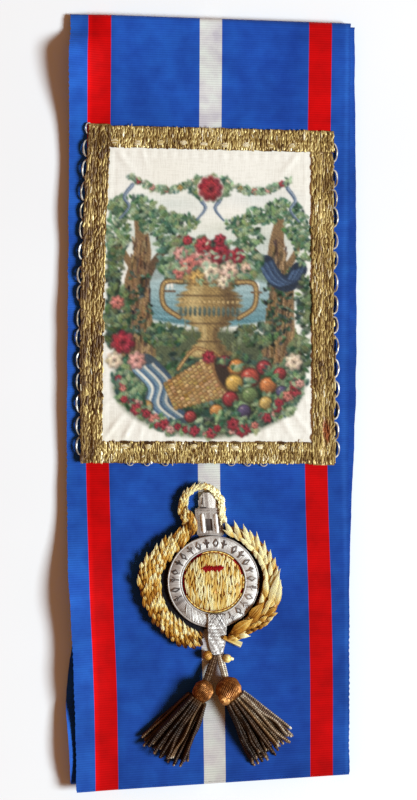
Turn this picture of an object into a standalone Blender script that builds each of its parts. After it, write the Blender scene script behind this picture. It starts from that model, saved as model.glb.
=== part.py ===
"""Ceremonial sash of striped silk ribbon, lying flat and folded.

One closed loop of ribbon is pressed flat and folded over once, so that four plies lie on each
other. A printed silk picture is sewn on the front, framed in metal lace, with a padded bullion
badge and its two tassels below it. Metres, +Z up. The sash lies on the plane z = 0, X runs across
the ribbon, and +Y runs along it to the folded top end. The origin is under the ribbon's middle.
"""

import math

import bmesh
import bpy
import numpy as np
from mathutils import Vector

# Gap that touching pieces keep, and how near to each other two points are one
SEAT_GAP = 0.0003
MERGE_DISTANCE = 0.000001

# Ribbon
SASH_WIDTH = 0.145
FOLDED_LENGTH = 0.396
CLOTH_THICKNESS = 0.0013
PLY_GAP = 0.0004
FOLD_PUFF = 0.0006
FOLD_PUFF_REACH = 0.010
INNER_FOLD_SETBACK = 0.0021
BACK_FOLD_SETBACK = 0.0034
TOP_FOLD_SLANT = -0.0052
BOTTOM_FOLD_SLANT = 0.0093
RIBBON_STEPS = 22
RIBBON_COLUMNS = 6
FOLD_STEPS = 6

# Picture panel and its lace frame
FRAME_WIDTH = 0.1289
FRAME_HEIGHT = 0.1718
FRAME_TOP_MARGIN = 0.058
FRAME_SHIFT = -0.0016
LACE_WIDTH = 0.0127
LACE_THICKNESS = 0.0012
LACE_CLIMB = 0.002
PANEL_TUCK = 0.005
PANEL_THICKNESS = 0.001
PICOT_PITCH = 0.011
PICOT_DEPTH = 0.0023
PICOT_SPAN = 0.0088
PICOT_WIRE_RADIUS = 0.0004
PICOT_ROOT = 0.0012
PICOT_STEPS = 5

# Badge
BADGE_DROP = 0.0616
BADGE_SHIFT = 0.0015
BACKING_THICKNESS = 0.0012
BACKING_MARGIN = 0.0012
RING_OUTER_RADIUS = 0.0237
RING_INNER_RADIUS = 0.0162
RING_THICKNESS = 0.0022
GROUND_THICKNESS = 0.0006
DISC_RADIUS = 0.015
DISC_RIM = 0.0008
DISC_RISE = 0.0016
ACCENT_THICKNESS = 0.0009
WREATH_RADIUS = 0.032
WREATH_HEIGHT = 0.0034
WREATH_RING_GAP = 0.0006
LEAF_LENGTH = 0.0078
LEAF_WIDTH = 0.0034
HOOP_RADIUS = 0.0101
HOOP_SHIFT = -0.0058
HOOP_RISE = 0.0386
HOOP_HEIGHT = 0.0034
FINIAL_WIDTH = 0.0122
FINIAL_TOP_GAP = 0.0015
FINIAL_SHIFT = -0.0036
FINIAL_THICKNESS = 0.0026
FINIAL_SLOT_WIDTH = 0.0034
FINIAL_SLOT_HEIGHT = 0.0062
FINIAL_SLOT_DEPTH = 0.0014
FINIAL_SLOT_RISE = 0.0026
FINIAL_BEVEL = 0.0005
TAIL_WIDTH = 0.0093
TAIL_SHIFT = 0.0019
TAIL_THICKNESS = 0.0012
TAIL_LENGTH = 0.0225
BALL_RADIUS = 0.0024

# Tassels
CORD_RADIUS = 0.001
HEAD_RADIUS = 0.0053
TASSEL_SPREAD = 0.0125
TASSEL_DROP = 0.0558
SKIRT_LENGTH = 0.0345
SKIRT_TOP_WIDTH = 0.0088
SKIRT_END_WIDTH = 0.0262
SKIRT_TOP_HEIGHT = 0.0066
LOCK_RADIUS = 0.0017
LOCK_THICKENING = 0.30
LOCK_SIDES = 6
LOCK_STAGGER = 0.0005
LOCK_STARTS = 4

# Each ply's outline: share of the length from the bottom fold, shift of its middle and width, both
# as shares of the ribbon's width. Ply 1 lies on the floor and ply 4 is the front.
PLY_OUTLINES = {
    1: (
        (0.00, -0.004, 0.990),
        (0.12, -0.002, 0.985),
        (0.50, 0.002, 0.990),
        (1.00, 0.000, 1.000),
    ),
    2: (
        (0.00, -0.004, 0.990),
        (0.03, -0.005, 0.992),
        (0.12, -0.010, 1.009),
        (0.19, 0.001, 0.985),
        (0.45, 0.012, 0.996),
        (1.00, 0.018, 0.993),
    ),
    3: (
        (0.00, 0.009, 0.970),
        (0.14, 0.005, 0.978),
        (0.25, 0.001, 0.990),
        (0.36, 0.007, 0.994),
        (0.45, 0.014, 1.000),
        (1.00, 0.018, 0.993),
    ),
    4: (
        (0.00, 0.009, 0.970),
        (0.14, 0.005, 0.980),
        (0.23, -0.001, 0.991),
        (0.29, -0.006, 1.001),
        (0.36, -0.009, 1.004),
        (0.63, -0.007, 1.003),
        (1.00, 0.000, 1.000),
    ),
}

# Soft ridges of the front ply: place along and across as shares of the length and half width,
# reach along and across as the same shares, and height as a share of the cloth's thickness
FRONT_RIDGES = (
    (0.150, -0.55, 0.014, 0.40, 0.45),
    (0.940, 0.45, 0.030, 0.50, 0.25),
    (0.900, -0.75, 0.025, 0.30, 0.30),
    (0.060, -0.80, 0.040, 0.25, 0.30),
)

# Puckers of the picture panel: place across and along as shares of half its sides, reach as a
# share of its width, height as a share of its thickness
PANEL_PUCKERS = (
    (-0.78, -0.86, 0.06, 0.45),
    (0.62, -0.88, 0.08, 0.40),
    (0.70, -0.55, 0.06, 0.25),
    (-0.55, 0.86, 0.07, 0.30),
)

# Corners of the hand-sewn frame: shares of its half width and half height
FRAME_CORNERS = {
    "top_left": (-0.984, 1.027),
    "top_right": (0.990, 0.973),
    "bottom_right": (1.010, -1.003),
    "bottom_left": (-1.016, -0.997),
}

# Wreath branches: angle about the ring, inner and outer radius as shares of WREATH_RADIUS
WREATH_LEFT = (
    (112.0, 0.91, 1.03),
    (118.0, 0.82, 1.02),
    (128.0, 0.77, 1.02),
    (147.0, 0.77, 1.07),
    (163.0, 0.82, 1.19),
    (176.5, 0.84, 1.24),
    (190.0, 0.84, 1.20),
    (205.0, 0.84, 1.17),
    (219.5, 0.83, 1.16),
    (234.0, 0.81, 1.16),
    (247.0, 0.83, 1.14),
    (258.5, 0.86, 1.02),
)
WREATH_RIGHT = (
    (-74.5, 0.88, 0.98),
    (-66.0, 0.81, 1.00),
    (-55.0, 0.77, 1.01),
    (-40.5, 0.77, 1.10),
    (-24.5, 0.76, 1.13),
    (-8.0, 0.77, 1.08),
    (10.0, 0.79, 1.08),
    (26.0, 0.78, 1.03),
    (42.0, 0.76, 1.01),
    (59.0, 0.78, 0.98),
    (70.0, 0.79, 0.95),
    (77.0, 0.83, 0.90),
)

# Hoop: angle about its centre, radius as a share of HOOP_RADIUS and half width as a share of
# HOOP_HEIGHT
HOOP_ROWS = (
    (222.0, 1.01, 0.72),
    (208.0, 1.00, 0.80),
    (188.0, 0.99, 0.84),
    (160.0, 1.00, 0.82),
    (130.0, 1.00, 0.76),
    (100.0, 1.00, 0.70),
    (70.0, 1.00, 0.72),
    (42.0, 1.00, 0.76),
    (18.0, 1.02, 0.66),
    (-6.0, 1.06, 0.52),
    (-24.0, 1.17, 0.44),
    (-36.5, 1.36, 0.36),
)

# Finial: share of the way from the ring to its top, half width as a share of FINIAL_WIDTH
FINIAL_ROWS = (
    (0.00, 0.56),
    (0.16, 0.47),
    (0.34, 0.47),
    (0.50, 0.50),
    (0.60, 0.46),
    (0.64, 0.36),
    (0.80, 0.34),
    (0.91, 0.25),
    (1.00, 0.07),
)
FINIAL_LEAN = 0.0022

# Small red patches on the disc: place as shares of DISC_RADIUS, and their half sides
ACCENTS = {
    "accent_left": (-0.235, 0.455, 0.185, 0.110),
    "accent_right": (0.160, 0.480, 0.175, 0.125),
}

# Gold knots: place beside the tail's end as shares of BALL_RADIUS, and radius as such a share
BALLS = {
    "gold_ball_left": (-1.15, 0.35, 1.00),
    "gold_ball_right": (1.20, -0.30, 0.92),
}

# Tassels: side, head's place as shares of half the spread, head's semi-axes as shares of
# HEAD_RADIUS, direction of the skirt in degrees, skirt width as a share
TASSELS = {
    "left": (-1, 1.06, 0.0130, (1.00, 1.00, 0.98), 238.3, 0.95),
    "right": (1, 0.94, -0.0130, (1.28, 1.20, 1.04), 305.0, 1.05),
}

# Locks of a skirt: place across from -1 to 1, layer, length as a share of SKIRT_LENGTH
SKIRT_LOCKS = (
    (-0.96, 0, 0.97),
    (-0.62, 0, 0.99),
    (-0.30, 0, 1.01),
    (0.02, 0, 0.98),
    (0.34, 0, 1.00),
    (0.66, 0, 0.96),
    (0.96, 0, 0.92),
    (-0.72, 1, 0.95),
    (-0.36, 1, 0.98),
    (0.00, 1, 1.00),
    (0.36, 1, 0.94),
    (0.70, 1, 0.90),
)

PALETTE = {
    "ribbon_silk": ((0.014, 0.075, 0.380), 0.60, 0.0),
    "printed_silk": ((0.856, 0.823, 0.715), 0.65, 0.0),
    "tarnished_lace": ((0.270, 0.175, 0.065), 0.45, 0.9),
    "black_felt": ((0.010, 0.009, 0.010), 0.90, 0.0),
    "gold_bullion": ((0.450, 0.250, 0.070), 0.35, 1.0),
    "silver_bullion": ((0.400, 0.330, 0.280), 0.40, 0.9),
    "red_cloth": ((0.300, 0.010, 0.015), 0.70, 0.0),
    "bronze_bullion": ((0.190, 0.065, 0.015), 0.45, 0.8),
    "dark_fringe": ((0.060, 0.040, 0.025), 0.50, 0.7),
}


def clear_scene():
    for obj in list(bpy.data.objects):
        bpy.data.objects.remove(obj, do_unlink=True)


def new_collection(name):
    collection = bpy.data.collections.new(name)
    bpy.context.scene.collection.children.link(collection)
    return collection


def make_materials():
    made = {}
    for name, (colour, roughness, metallic) in PALETTE.items():
        material = bpy.data.materials.new(name)
        material.use_nodes = True
        shader = material.node_tree.nodes["Principled BSDF"]
        shader.inputs["Base Color"].default_value = (*colour, 1.0)
        shader.inputs["Roughness"].default_value = roughness
        shader.inputs["Metallic"].default_value = metallic
        made[name] = material
    return made


clear_scene()
SASH = new_collection("ceremonial_sash")
HELPERS = new_collection("helpers")
HELPERS.hide_render = True
MATERIALS = make_materials()


def place(obj, material, smooth=True):
    """Puts a finished piece in the sash's collection, with its material."""
    SASH.objects.link(obj)
    obj.data.materials.append(MATERIALS[material])
    if smooth and obj.type == "MESH":
        obj.data.shade_smooth()
        obj.data.set_sharp_from_angle(angle=math.radians(40))
    return obj


def mesh_from(name, build):
    """A mesh filled by build(bm), with its normals facing out."""
    mesh = bpy.data.meshes.new(name)
    bm = bmesh.new()
    build(bm)
    bmesh.ops.recalc_face_normals(bm, faces=bm.faces)
    bm.to_mesh(mesh)
    bm.free()
    return mesh


def helper(name, mesh):
    """A hidden object that a Boolean joins to a piece or takes away from it."""
    obj = bpy.data.objects.new(name, mesh)
    obj.display_type = "WIRE"
    obj.hide_render = True
    HELPERS.objects.link(obj)
    return obj


def boolean(obj, other, operation, overlapping=False):
    modifier = obj.modifiers.new(other.name, "BOOLEAN")
    modifier.operation = operation
    modifier.object = other
    modifier.use_self = overlapping


def solidify(obj, thickness, offset):
    modifier = obj.modifiers.new("wall", "SOLIDIFY")
    modifier.thickness = thickness
    modifier.offset = offset
    modifier.use_even_offset = True


def add_loft(bm, rings):
    """Adds a closed body through rings of as many points each, with a face on both ends."""
    rows = [[bm.verts.new(point) for point in ring] for ring in rings]
    count = len(rows[0])
    for low, high in zip(rows, rows[1:]):
        for i in range(count):
            j = (i + 1) % count
            bm.faces.new((low[i], low[j], high[j], high[i]))
    bm.faces.new(list(reversed(rows[0])))
    bm.faces.new(rows[-1])


def add_sheet(bm, rows, closed=False):
    """Adds an open surface through rows of points. A closed one joins its last row to its first."""
    made = [[bm.verts.new(point) for point in row] for row in rows]
    pairs = list(zip(made, made[1:]))
    if closed:
        pairs.append((made[-1], made[0]))
    for low, high in pairs:
        for i in range(len(low) - 1):
            bm.faces.new((low[i], low[i + 1], high[i + 1], high[i]))


def smooth_rows(rows, x):
    """The columns of a table at x, read from a smooth curve through its rows."""
    table = np.array(rows, float)
    xs = table[:, 0]
    values = table[:, 1:]
    order = np.argsort(xs)
    xs = xs[order]
    values = values[order]
    slopes = np.gradient(values, xs, axis=0)
    x = min(max(x, xs[0]), xs[-1])
    i = min(max(int(np.searchsorted(xs, x)) - 1, 0), len(xs) - 2)
    span = xs[i + 1] - xs[i]
    t = (x - xs[i]) / span
    start = (2 * t**3 - 3 * t**2 + 1) * values[i] + (t**3 - 2 * t**2 + t) * span * slopes[i]
    end = (3 * t**2 - 2 * t**3) * values[i + 1] + (t**3 - t**2) * span * slopes[i + 1]
    return start + end


# Heights of the folded ribbon
PLY_PITCH = CLOTH_THICKNESS + PLY_GAP
FRONT_TOP = 4 * CLOTH_THICKNESS + 3 * PLY_GAP
TOP_END = FOLDED_LENGTH / 2
BOTTOM_END = -FOLDED_LENGTH / 2


def puff(distance):
    """How much more than PLY_GAP two plies stand apart, this far from the fold that joins them."""
    return FOLD_PUFF * math.exp(-distance / FOLD_PUFF_REACH)


def front_ridge(share, across):
    """Height of the front ply's soft ridges, at a share of the length and from -1 to 1 across."""
    total = 0.0
    for along, side, reach_along, reach_across, height in FRONT_RIDGES:
        distance = ((share - along) / reach_along) ** 2 + ((across - side) / reach_across) ** 2
        total += height * math.exp(-distance)
    return total * CLOTH_THICKNESS


def ply_height(ply, share):
    """Height of a ply's middle surface, without the front's ridges."""
    from_bottom = share * FOLDED_LENGTH
    from_top = FOLDED_LENGTH - from_bottom
    height = CLOTH_THICKNESS / 2
    if ply >= 2:
        height += PLY_PITCH + puff(from_bottom)
    if ply >= 3:
        height += PLY_PITCH + puff(from_top)
    if ply >= 4:
        height += PLY_PITCH + puff(from_bottom)
    return height


def front_surface(y):
    """Height of the front ply's upper side at y, without its ridges."""
    share = (y - BOTTOM_END) / FOLDED_LENGTH
    return ply_height(4, min(max(share, 0.0), 1.0)) + CLOTH_THICKNESS / 2


def fold_radius(lower, upper, share):
    return (ply_height(upper, share) - ply_height(lower, share)) / 2


def ply_end(ply, share):
    """Where a ply's straight stretch ends at its top (share 1) or bottom fold (share 0)."""
    if share == 1:
        lower, upper = (1, 4) if ply in (1, 4) else (2, 3)
        setback = 0.0 if ply in (1, 4) else INNER_FOLD_SETBACK
        return TOP_END - setback - fold_radius(lower, upper, 1) - CLOTH_THICKNESS / 2
    lower, upper = (1, 2) if ply in (1, 2) else (3, 4)
    setback = BACK_FOLD_SETBACK if ply in (1, 2) else 0.0
    return BOTTOM_END + setback + fold_radius(lower, upper, 0) + CLOTH_THICKNESS / 2


def ribbon_row(y, height, slant, shift, width, share, ridged):
    """One crosswise row of points of the ribbon's middle surface."""
    row = []
    for i in range(RIBBON_COLUMNS + 1):
        across = 2 * i / RIBBON_COLUMNS - 1
        x = (shift + width * across / 2) * SASH_WIDTH
        lift = front_ridge(share, across) if ridged else 0.0
        row.append((x, y + slant * across / 2, height + lift))
    return row


def ply_rows(ply, upwards):
    """The rows of one ply, from its bottom fold to its top fold or back."""
    rows = []
    for i in range(RIBBON_STEPS + 1):
        share = i / RIBBON_STEPS if upwards else 1 - i / RIBBON_STEPS
        y = ply_end(ply, 0) + share * (ply_end(ply, 1) - ply_end(ply, 0))
        slant = BOTTOM_FOLD_SLANT + share * (TOP_FOLD_SLANT - BOTTOM_FOLD_SLANT)
        shift, width = smooth_rows(PLY_OUTLINES[ply], share)
        rows.append(ribbon_row(y, ply_height(ply, share), slant, shift, width, share, ply == 4))
    return rows


def fold_rows(start_ply, end_ply, share):
    """The rows round one fold, from the end of one ply to the end of another."""
    outward = 1 if share == 1 else -1
    slant = TOP_FOLD_SLANT if share == 1 else BOTTOM_FOLD_SLANT
    start, end = ply_height(start_ply, share), ply_height(end_ply, share)
    middle, half = (start + end) / 2, (start - end) / 2
    shift, width = smooth_rows(PLY_OUTLINES[start_ply], share)
    rows = []
    for i in range(1, FOLD_STEPS):
        angle = math.pi * i / FOLD_STEPS
        y = ply_end(start_ply, share) + outward * abs(half) * math.sin(angle)
        rows.append(ribbon_row(y, middle + half * math.cos(angle), slant, shift, width, share, False))
    return rows


def make_ribbon():
    """The loop runs up the front, over the top, down the back and home between them."""
    rows = ply_rows(4, True) + fold_rows(4, 1, 1) + ply_rows(1, False) + fold_rows(1, 2, 0)
    rows += ply_rows(2, True) + fold_rows(2, 3, 1) + ply_rows(3, False) + fold_rows(3, 4, 0)
    mesh = mesh_from("sash_ribbon", lambda bm: add_sheet(bm, rows, closed=True))
    obj = place(bpy.data.objects.new("sash_ribbon", mesh), "ribbon_silk")
    solidify(obj, CLOTH_THICKNESS, 0.0)


# The lace frame's four sides, worked out from its corners
FRAME_CENTRE_Y = TOP_END - FRAME_TOP_MARGIN - FRAME_HEIGHT / 2
FRAME_BOTTOM = FRAME_CENTRE_Y - FRAME_HEIGHT / 2
FRAME_ORDER = ("top_left", "top_right", "bottom_right", "bottom_left")
SIDES = {
    "top": ("top_left", "top_right"),
    "right": ("top_right", "bottom_right"),
    "bottom": ("bottom_right", "bottom_left"),
    "left": ("bottom_left", "top_left"),
}


def frame_corner(name):
    across, along = FRAME_CORNERS[name]
    return np.array((FRAME_SHIFT + across * FRAME_WIDTH / 2, FRAME_CENTRE_Y + along * FRAME_HEIGHT / 2))


def side_line(side, inset):
    """A point and direction of the line that lies this far inside one side of the frame."""
    start, end = (frame_corner(name) for name in SIDES[side])
    direction = (end - start) / np.linalg.norm(end - start)
    inward = np.array((direction[1], -direction[0]))
    return start + inset * inward, direction


def crossing(line_a, line_b):
    (point_a, along_a), (point_b, along_b) = line_a, line_b
    steps = np.linalg.solve(np.column_stack((along_a, -along_b)), point_b - point_a)
    return point_a + steps[0] * along_a


def inset_corners(inset):
    """The frame's corners, each side moved inwards, in FRAME_ORDER."""
    lines = {side: side_line(side, inset) for side in SIDES}
    pairs = (("left", "top"), ("top", "right"), ("right", "bottom"), ("bottom", "left"))
    return [crossing(lines[a], lines[b]) for a, b in pairs]


PANEL_INSET = LACE_WIDTH - PANEL_TUCK
PANEL_FLOOR = FRONT_TOP + SEAT_GAP
PANEL_TOP = PANEL_FLOOR + PANEL_THICKNESS
PANEL_ROWS = 14
PANEL_COLUMNS = 10


def pucker(across, along):
    total = 0.0
    for side, place_along, reach, height in PANEL_PUCKERS:
        reach_along = reach * FRAME_WIDTH / FRAME_HEIGHT
        distance = ((across - side) / (2 * reach)) ** 2 + ((along - place_along) / (2 * reach_along)) ** 2
        total += height * math.exp(-distance)
    return total * PANEL_THICKNESS


def make_panel():
    """The printed silk: its edge lies under the lace, so it is plain there."""
    top_left, top_right, bottom_right, bottom_left = inset_corners(PANEL_INSET)
    rows = []
    for j in range(PANEL_ROWS + 1):
        v = j / PANEL_ROWS
        left = bottom_left + v * (top_left - bottom_left)
        right = bottom_right + v * (top_right - bottom_right)
        row = []
        for i in range(PANEL_COLUMNS + 1):
            u = i / PANEL_COLUMNS
            point = left + u * (right - left)
            inside = min(u, 1 - u) * FRAME_WIDTH > 1.5 * PANEL_TUCK
            inside = inside and min(v, 1 - v) * FRAME_HEIGHT > 1.5 * PANEL_TUCK
            lift = pucker(2 * u - 1, 2 * v - 1) if inside else 0.0
            row.append((point[0], point[1], PANEL_FLOOR + lift))
        rows.append(row)
    mesh = mesh_from("picture_panel", lambda bm: add_sheet(bm, rows))
    obj = place(bpy.data.objects.new("picture_panel", mesh), "printed_silk")
    solidify(obj, PANEL_THICKNESS, 1.0)


# The lace lies on the ribbon at its outer edge and climbs over the panel's edge
LACE_LEVEL = FRONT_TOP + SEAT_GAP
LACE_UPPER_LEVEL = PANEL_TOP + SEAT_GAP
CLIMB_END = (LACE_WIDTH - PANEL_TUCK - 2 * SEAT_GAP) / LACE_WIDTH
CLIMB_START = CLIMB_END - LACE_CLIMB / LACE_WIDTH
LACE_SECTION = (
    (0.0, LACE_LEVEL),
    (CLIMB_START, LACE_LEVEL),
    (CLIMB_END, LACE_UPPER_LEVEL),
    (1.0, LACE_UPPER_LEVEL),
)


def lace_corners(side):
    """Outer start and end, then inner start and end. Three corners overlap and one is mitred."""
    outer = {name: side_line(name, 0.0) for name in SIDES}
    inner = {name: side_line(name, LACE_WIDTH) for name in SIDES}
    own_outer, own_inner = outer[side], inner[side]
    mitre = (crossing(outer["bottom"], outer["left"]), crossing(inner["bottom"], inner["left"]))
    ends = {
        "top": (inner["left"], outer["right"]),
        "right": (inner["top"], outer["bottom"]),
        "bottom": (inner["right"], None),
        "left": (None, outer["top"]),
    }
    corners = []
    for own, mitred in ((own_outer, mitre[0]), (own_inner, mitre[1])):
        for line in ends[side]:
            corners.append(mitred if line is None else crossing(own, line))
    outer_start, outer_end, inner_start, inner_end = corners
    along = own_outer[1] * SEAT_GAP
    return outer_start + along, outer_end - along, inner_start + along, inner_end - along


def picot_loops(side, corners):
    """The centre lines of a side's wire loops: outwards left and right, inwards top and bottom."""
    outer_start, outer_end, inner_start, inner_end = corners
    inwards = side in ("top", "bottom")
    start, end = (inner_start, inner_end) if inwards else (outer_start, outer_end)
    if side == "top":
        end = crossing(side_line("top", LACE_WIDTH), side_line("right", LACE_WIDTH))
    level = LACE_UPPER_LEVEL if inwards else LACE_LEVEL
    length = np.linalg.norm(end - start)
    along = (end - start) / length
    out = np.array((along[1], -along[0])) * (1 if inwards else -1)
    count = int((length - PICOT_SPAN) // PICOT_PITCH) + 1
    spare = length - (count - 1) * PICOT_PITCH
    loops = []
    for i in range(count):
        middle = start + along * (spare / 2 + i * PICOT_PITCH)
        points = []
        for k in range(PICOT_STEPS + 1):
            angle = math.pi * k / PICOT_STEPS
            reach = (PICOT_DEPTH - PICOT_WIRE_RADIUS + PICOT_ROOT) * math.sin(angle) - PICOT_ROOT
            point = middle - along * (PICOT_SPAN / 2 * math.cos(angle)) + out * reach
            points.append((point[0], point[1], level + LACE_THICKNESS / 2))
        loops.append(points)
    return loops


def wire_mesh(name, paths, radius, resolution=0):
    """Wires along paths of points, as one mesh of closed tubes."""
    curve = bpy.data.curves.new(name, "CURVE")
    curve.dimensions = "3D"
    curve.bevel_depth = radius
    curve.bevel_resolution = resolution
    curve.use_fill_caps = True
    for path in paths:
        spline = curve.splines.new("POLY")
        spline.points.add(len(path) - 1)
        for point, co in zip(spline.points, path):
            point.co = (*co, 1.0)
    wire = bpy.data.objects.new(name, curve)
    bpy.context.scene.collection.objects.link(wire)
    graph = bpy.context.evaluated_depsgraph_get()
    mesh = bpy.data.meshes.new_from_object(wire.evaluated_get(graph))
    bpy.data.objects.remove(wire)
    bm = bmesh.new()
    bm.from_mesh(mesh)
    bmesh.ops.remove_doubles(bm, verts=bm.verts, dist=MERGE_DISTANCE)
    bmesh.ops.recalc_face_normals(bm, faces=bm.faces)
    bm.to_mesh(mesh)
    bm.free()
    return mesh


def make_lace(side):
    corners = lace_corners(side)
    outer_start, outer_end, inner_start, inner_end = corners
    rows = []
    for share, level in LACE_SECTION:
        row = []
        for v in (0.0, 1.0):
            outer = outer_start + v * (outer_end - outer_start)
            inner = inner_start + v * (inner_end - inner_start)
            point = outer + share * (inner - outer)
            row.append((point[0], point[1], level))
        rows.append(row)
    name = f"lace_{side}"
    mesh = bpy.data.meshes.new(name)
    bm = bmesh.new()
    add_sheet(bm, rows)
    for face in bm.faces:
        face.normal_update()
        if face.normal.z < 0:
            face.normal_flip()
    bm.to_mesh(mesh)
    bm.free()
    obj = place(bpy.data.objects.new(name, mesh), "tarnished_lace", smooth=False)
    solidify(obj, LACE_THICKNESS, 1.0)
    loops = wire_mesh(f"{name}_picots", picot_loops(side, corners), PICOT_WIRE_RADIUS)
    boolean(obj, helper(f"{name}_picots", loops), "UNION")


# Places of the badge
BADGE_CENTRE = np.array((BADGE_SHIFT, FRAME_BOTTOM - BADGE_DROP))
BACKING_LEVEL = FRONT_TOP + SEAT_GAP
BACKING_TOP = BACKING_LEVEL + BACKING_THICKNESS
BADGE_LEVEL = BACKING_TOP + SEAT_GAP
RING_TOP = BADGE_LEVEL + RING_THICKNESS


def badge_point(angle_deg, radius):
    angle = math.radians(angle_deg)
    return BADGE_CENTRE + radius * np.array((math.cos(angle), math.sin(angle)))


def flat_solid(name, outline, level, thickness, material):
    """An outline cut from flat stock: a filled curve, extruded by half its thickness each way."""
    curve = bpy.data.curves.new(name, "CURVE")
    curve.dimensions = "2D"
    curve.fill_mode = "BOTH"
    curve.extrude = thickness / 2
    spline = curve.splines.new("POLY")
    spline.points.add(len(outline) - 1)
    for point, (x, y) in zip(spline.points, outline):
        point.co = (x, y, 0.0, 1.0)
    spline.use_cyclic_u = True
    obj = bpy.data.objects.new(name, curve)
    obj.location.z = level + thickness / 2
    SASH.objects.link(obj)
    curve.materials.append(MATERIALS[material])
    return obj


def branch_radii(rows, angle):
    """Inner and outer radius of a wreath branch. The inner one stays clear of the ring."""
    inner, outer = smooth_rows(rows, angle) * WREATH_RADIUS
    return max(inner, RING_OUTER_RADIUS + WREATH_RING_GAP), outer


BACKING_STEPS = 60
BACKING_TIP_ANGLE = 8.0


def make_backing():
    """Stiff felt under the ring and the wreath, set back from the wreath's outline."""
    outline = []
    for i in range(BACKING_STEPS):
        angle = -90 + 360 * i / BACKING_STEPS
        turned = angle % 360
        in_left = WREATH_LEFT[0][0] + BACKING_TIP_ANGLE <= turned <= WREATH_LEFT[-1][0]
        in_right = WREATH_RIGHT[0][0] <= angle <= WREATH_RIGHT[-1][0] - BACKING_TIP_ANGLE
        if in_left:
            radius = branch_radii(WREATH_LEFT, turned)[1] - BACKING_MARGIN
        elif in_right:
            radius = branch_radii(WREATH_RIGHT, angle)[1] - BACKING_MARGIN
        elif turned < 180:
            radius = RING_OUTER_RADIUS - BACKING_MARGIN
        else:
            radius = RING_OUTER_RADIUS + BACKING_MARGIN
        outline.append(badge_point(angle, radius))
    flat_solid("badge_backing", outline, BACKING_LEVEL, BACKING_THICKNESS, "black_felt")


def turned(name, profile, material, steps):
    """A profile turned about the badge's axis."""

    def build(bm):
        verts = [bm.verts.new((radius, 0.0, height)) for radius, height in profile]
        closed = profile[0][0] > 0 and profile[-1][0] > 0
        for a, b in zip(verts, verts[1:]):
            bm.edges.new((a, b))
        if closed:
            bm.edges.new((verts[-1], verts[0]))

    obj = place(bpy.data.objects.new(name, mesh_from(name, build)), material)
    obj.location = (*BADGE_CENTRE, BADGE_LEVEL)
    screw = obj.modifiers.new("turned", "SCREW")
    screw.steps = steps
    screw.render_steps = steps
    screw.use_merge_vertices = True
    screw.merge_threshold = MERGE_DISTANCE
    return obj


RING_STEPS = 40
DISC_STEPS = 32
RING_EDGE = 0.22


def make_ring():
    """A padded band, low at both edges and crowned between them."""
    width = RING_OUTER_RADIUS - RING_INNER_RADIUS
    profile = (
        (RING_INNER_RADIUS + RING_EDGE * width, RING_THICKNESS),
        (RING_OUTER_RADIUS - RING_EDGE * width, RING_THICKNESS),
        (RING_OUTER_RADIUS, RING_THICKNESS / 2),
        (RING_OUTER_RADIUS, 0.0),
        (RING_INNER_RADIUS, 0.0),
        (RING_INNER_RADIUS, RING_THICKNESS / 2),
    )
    turned("silver_ring", profile, "silver_bullion", RING_STEPS)


GROUND_RADIUS = RING_INNER_RADIUS - SEAT_GAP
DISC_LEVEL = GROUND_THICKNESS + SEAT_GAP
DISC_TOP = BADGE_LEVEL + DISC_LEVEL + DISC_RIM + DISC_RISE


def make_disc():
    """The red ground, and on it the gold dome: flat in the middle and steep at its rim."""
    ground = ((0.0, GROUND_THICKNESS), (GROUND_RADIUS, GROUND_THICKNESS), (GROUND_RADIUS, 0.0), (0.0, 0.0))
    turned("red_ground", ground, "red_cloth", DISC_STEPS)
    profile = []
    for share in (0.0, 0.5, 0.75, 0.9, 1.0):
        height = DISC_LEVEL + DISC_RIM + DISC_RISE * (1 - share**4)
        profile.append((share * DISC_RADIUS, height))
    profile += [(DISC_RADIUS, DISC_LEVEL), (0.0, DISC_LEVEL)]
    turned("gold_disc", profile, "gold_bullion", DISC_STEPS)


def make_accents():
    for name, (across, along, half_width, half_height) in ACCENTS.items():
        def build(bm, half_width=half_width, half_height=half_height):
            bmesh.ops.create_uvsphere(bm, u_segments=10, v_segments=6, radius=1.0)
            scale = (half_width * DISC_RADIUS, half_height * DISC_RADIUS, ACCENT_THICKNESS / 2)
            bmesh.ops.scale(bm, vec=scale, verts=bm.verts)

        obj = place(bpy.data.objects.new(name, mesh_from(name, build)), "red_cloth")
        x, y = BADGE_CENTRE + DISC_RADIUS * np.array((across, along))
        obj.location = (x, y, DISC_TOP + SEAT_GAP + ACCENT_THICKNESS / 2)


# Upper half of a padded section: shares of its half width and height, from one edge to the other
DOME_SECTION = ((-1.0, 0.0), (-0.92, 0.5), (-0.55, 0.92), (0.0, 1.0), (0.55, 0.92), (0.92, 0.5), (1.0, 0.0))


def domed_ring(middle, across, half_width, level, height):
    """One flat-bottomed, domed section of a padded branch."""
    ring = []
    for side, rise in DOME_SECTION:
        point = middle + across * (side * half_width)
        ring.append((point[0], point[1], level + rise * height))
    return ring


# A leaf from foot to tip: share of its length, breadth as a share of LEAF_WIDTH, and how high its
# underside, its edges and its ridge lie, as shares of the padding that it lies on
LEAF_SECTIONS = (
    (0.00, 0.45, 0.45, 0.86, 0.98),
    (0.40, 1.00, 0.40, 0.95, 1.20),
    (1.00, 0.12, 0.25, 0.42, 0.50),
)


def add_leaf(bm, foot, direction, size, level, padding):
    """A pointed leaf with a ridge along it, lying on a padded branch and running past its edge."""
    across = np.array((-direction[1], direction[0]))
    rings = []
    for share, breadth, low, edge, high in LEAF_SECTIONS:
        middle = foot + direction * (share * size * LEAF_LENGTH)
        half = breadth * size * LEAF_WIDTH / 2
        ring = []
        for side, rise in ((-1, edge), (0, high), (1, edge), (0, low)):
            point = middle + across * (side * half)
            ring.append((point[0], point[1], level + rise * padding))
        rings.append(ring)
    add_loft(bm, rings)


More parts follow.
